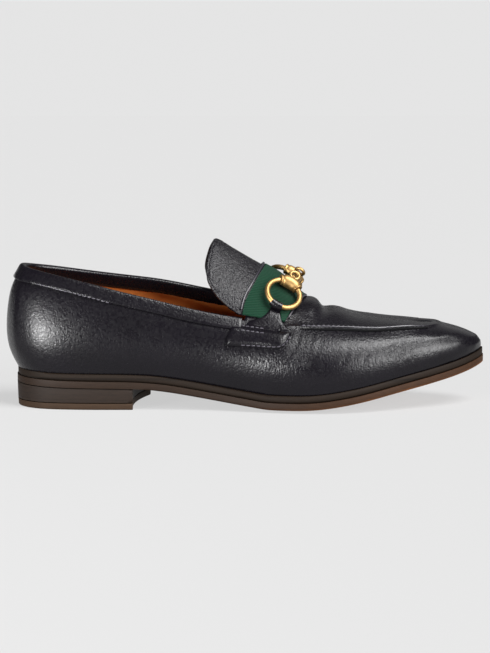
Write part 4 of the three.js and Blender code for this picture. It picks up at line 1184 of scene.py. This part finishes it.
def apron_crest():
    """The points of the raised seam's crest, from one end round the toe to the other."""
    piece = copy_of("upper", "crest")
    faces = {}
    for face in piece.data.polygons:
        for key in face.edge_keys:
            faces.setdefault(key, []).append(face)
    crest = set()
    for key, pair in faces.items():
        if len(pair) != 2:
            continue
        one, other = pair
        angle = one.normal.angle(other.normal)
        convex = (other.center - one.center).dot(one.normal) < 0
        ahead = all(piece.data.vertices[i].co.x > BACK + SEAM_FROM * SOLE_LENGTH for i in key)
        upward = one.normal.z + other.normal.z > 0
        if convex and ahead and upward and SEAM_ANGLES[0] < angle < SEAM_ANGLES[1]:
            crest.update(key)
    points = [piece.data.vertices[i].co.copy() for i in crest]
    bpy.data.objects.remove(piece)
    middle = BACK + SEAM_MIDDLE * SOLE_LENGTH
    return sorted(points, key=lambda point: math.atan2(point.y, point.x - middle))


class LOAFER_OT_stitching(bpy.types.Operator):
    """Makes the apron seam's roll and the threads of the seams"""

    bl_idname = "loafer.stitching"
    bl_label = "Seams and stitches"

    def execute(self, context):
        length = context.scene.loafer_trim.stitch
        objects = bpy.data.objects
        upper = surface_of(objects["loafer_upper"])
        crest = apron_crest()
        rolls, painted_seam_shadows, shells = [], [], []
        middle = Vector((BACK + VAMP_MIDDLE * SOLE_LENGTH, MIDDLE_Y, crest[0].z))
        seam_end = BACK + SEAM_TO * SOLE_LENGTH
        for side in (-1, 1):
            line = [point for point in crest if point.y * side > 0 and point.x < seam_end]
            line = even_route(smooth_route(sorted(line, key=lambda point: point.x), 6), SEAM_STEP)
            rolls.append(tube(line, rounded_ends(len(line), ROLL_RADIUS, SEAM_TAPER), 10))
            # Under and outside each roll lies a matt black tube, a painted shadow in the seam's groove.
            below = Vector((0, side * SHADOW_LINE_OUT, -SHADOW_LINE_DOWN))
            under = [upper.find_nearest(point + below)[:2] for point in line]
            under = [place + normal * SHADOW_LINE_PROUD for place, normal in under]
            painted_seam_shadows.append(tube(under, rounded_ends(len(under), SHADOW_LINE_RADIUS, SEAM_TAPER), 8))
            inset = [point + (middle - point).normalized() * SEAM_INSET for point in line]
            shells += stitches(inset, upper, length)
        for name, made, material in (
            ("loafer_apron_roll", rolls, bpy.data.materials["calf_roll_painted_highlight"]),
            ("loafer_apron_painted_shadow", painted_seam_shadows, painted_seam_shadow()),
        ):
            finish_piece(joined(name, made), material)

        for side, name in ((-1, "lateral"), (1, "medial")):
            ear_surface = surface_of(objects["loafer_ear_" + name])
            bottom, _, seam = ear_lines("ear_" + name)
            up = Vector((0, 0, 1))
            for line, lift in zip((bottom[3:], seam[1:-1], seam[1:-1]), EAR_STITCHES):
                route = on_side(ear_surface, side, line, up * lift)
                shells += stitches(route, ear_surface, length)
        band = surface_of(objects["loafer_collar_band"])
        for side in (-1, 1):
            shells += stitches(band_line(band, side), band, length)
        finish_piece(joined("loafer_threads", shells), waxed_thread())
        return {"FINISHED"}


BAND_FROM, BAND_TO, BAND_STEPS = 0.05, 0.44, 60
BAND_STITCH = 1.3 * MM
BAND_JUMP = 6 * MM  # further apart, two points lie on different sides of the band


def on_side(surface, side, points, shift):
    route = []
    for point in points:
        moved = point + shift
        hit, _ = from_side(surface, side, moved.x, moved.z)
        if hit:
            route.append(hit)
    return smooth_route(route, 4)


def band_line(band, side):
    """A line just above the collar band's lower edge."""
    low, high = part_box("collar_band")
    route = []
    for i in range(BAND_STEPS + 1):
        x = BACK + (BAND_FROM + (BAND_TO - BAND_FROM) * i / BAND_STEPS) * SOLE_LENGTH
        z = low.z
        while z < high.z and from_side(band, side, x, z)[0] is None:
            z += 0.3 * MM
        point, _ = from_side(band, side, x, z + BAND_STITCH)
        if point and (not route or (point - route[-1]).length < BAND_JUMP):
            route.append(point)
    return smooth_route(route, 2)


class LOAFER_PT_panel(bpy.types.Panel):
    """The loafer's sizes, colours and steps in the 3D view's sidebar"""

    bl_label = "Bit loafer"
    bl_idname = "LOAFER_PT_panel"
    bl_space_type = "VIEW_3D"
    bl_region_type = "UI"
    bl_category = "Loafer"

    def draw(self, context):
        for group_name, group in GROUPS.items():
            for name in group.__annotations__:
                self.layout.prop(getattr(context.scene, group_name), name)
        for operator in OPERATORS:
            self.layout.operator(operator.bl_idname)


GROUPS = {"loafer_sole": LoaferSole, "loafer_upper": LoaferUpper, "loafer_trim": LoaferTrim}
OPERATORS = (
    LOAFER_OT_stage,
    LOAFER_OT_sole,
    LOAFER_OT_upper,
    LOAFER_OT_edges,
    LOAFER_OT_ribbon,
    LOAFER_OT_ears,
    LOAFER_OT_bit,
    LOAFER_OT_stitching,
)


def register():
    for name, group in GROUPS.items():
        bpy.utils.register_class(group)
        setattr(bpy.types.Scene, name, PointerProperty(type=group))
    for made in (*OPERATORS, LOAFER_PT_panel):
        bpy.utils.register_class(made)


def unregister():
    for made in (*OPERATORS, LOAFER_PT_panel):
        bpy.utils.unregister_class(made)
    for name, group in GROUPS.items():
        delattr(bpy.types.Scene, name)
        bpy.utils.unregister_class(group)


def main():
    register()
    bpy.ops.loafer.stage()
    bpy.ops.loafer.sole()
    bpy.ops.loafer.upper()
    bpy.ops.loafer.edges()
    bpy.ops.loafer.ribbon()
    bpy.ops.loafer.ears()
    bpy.ops.loafer.bit()
    bpy.ops.loafer.stitching()


if __name__ == "__main__":
    main()
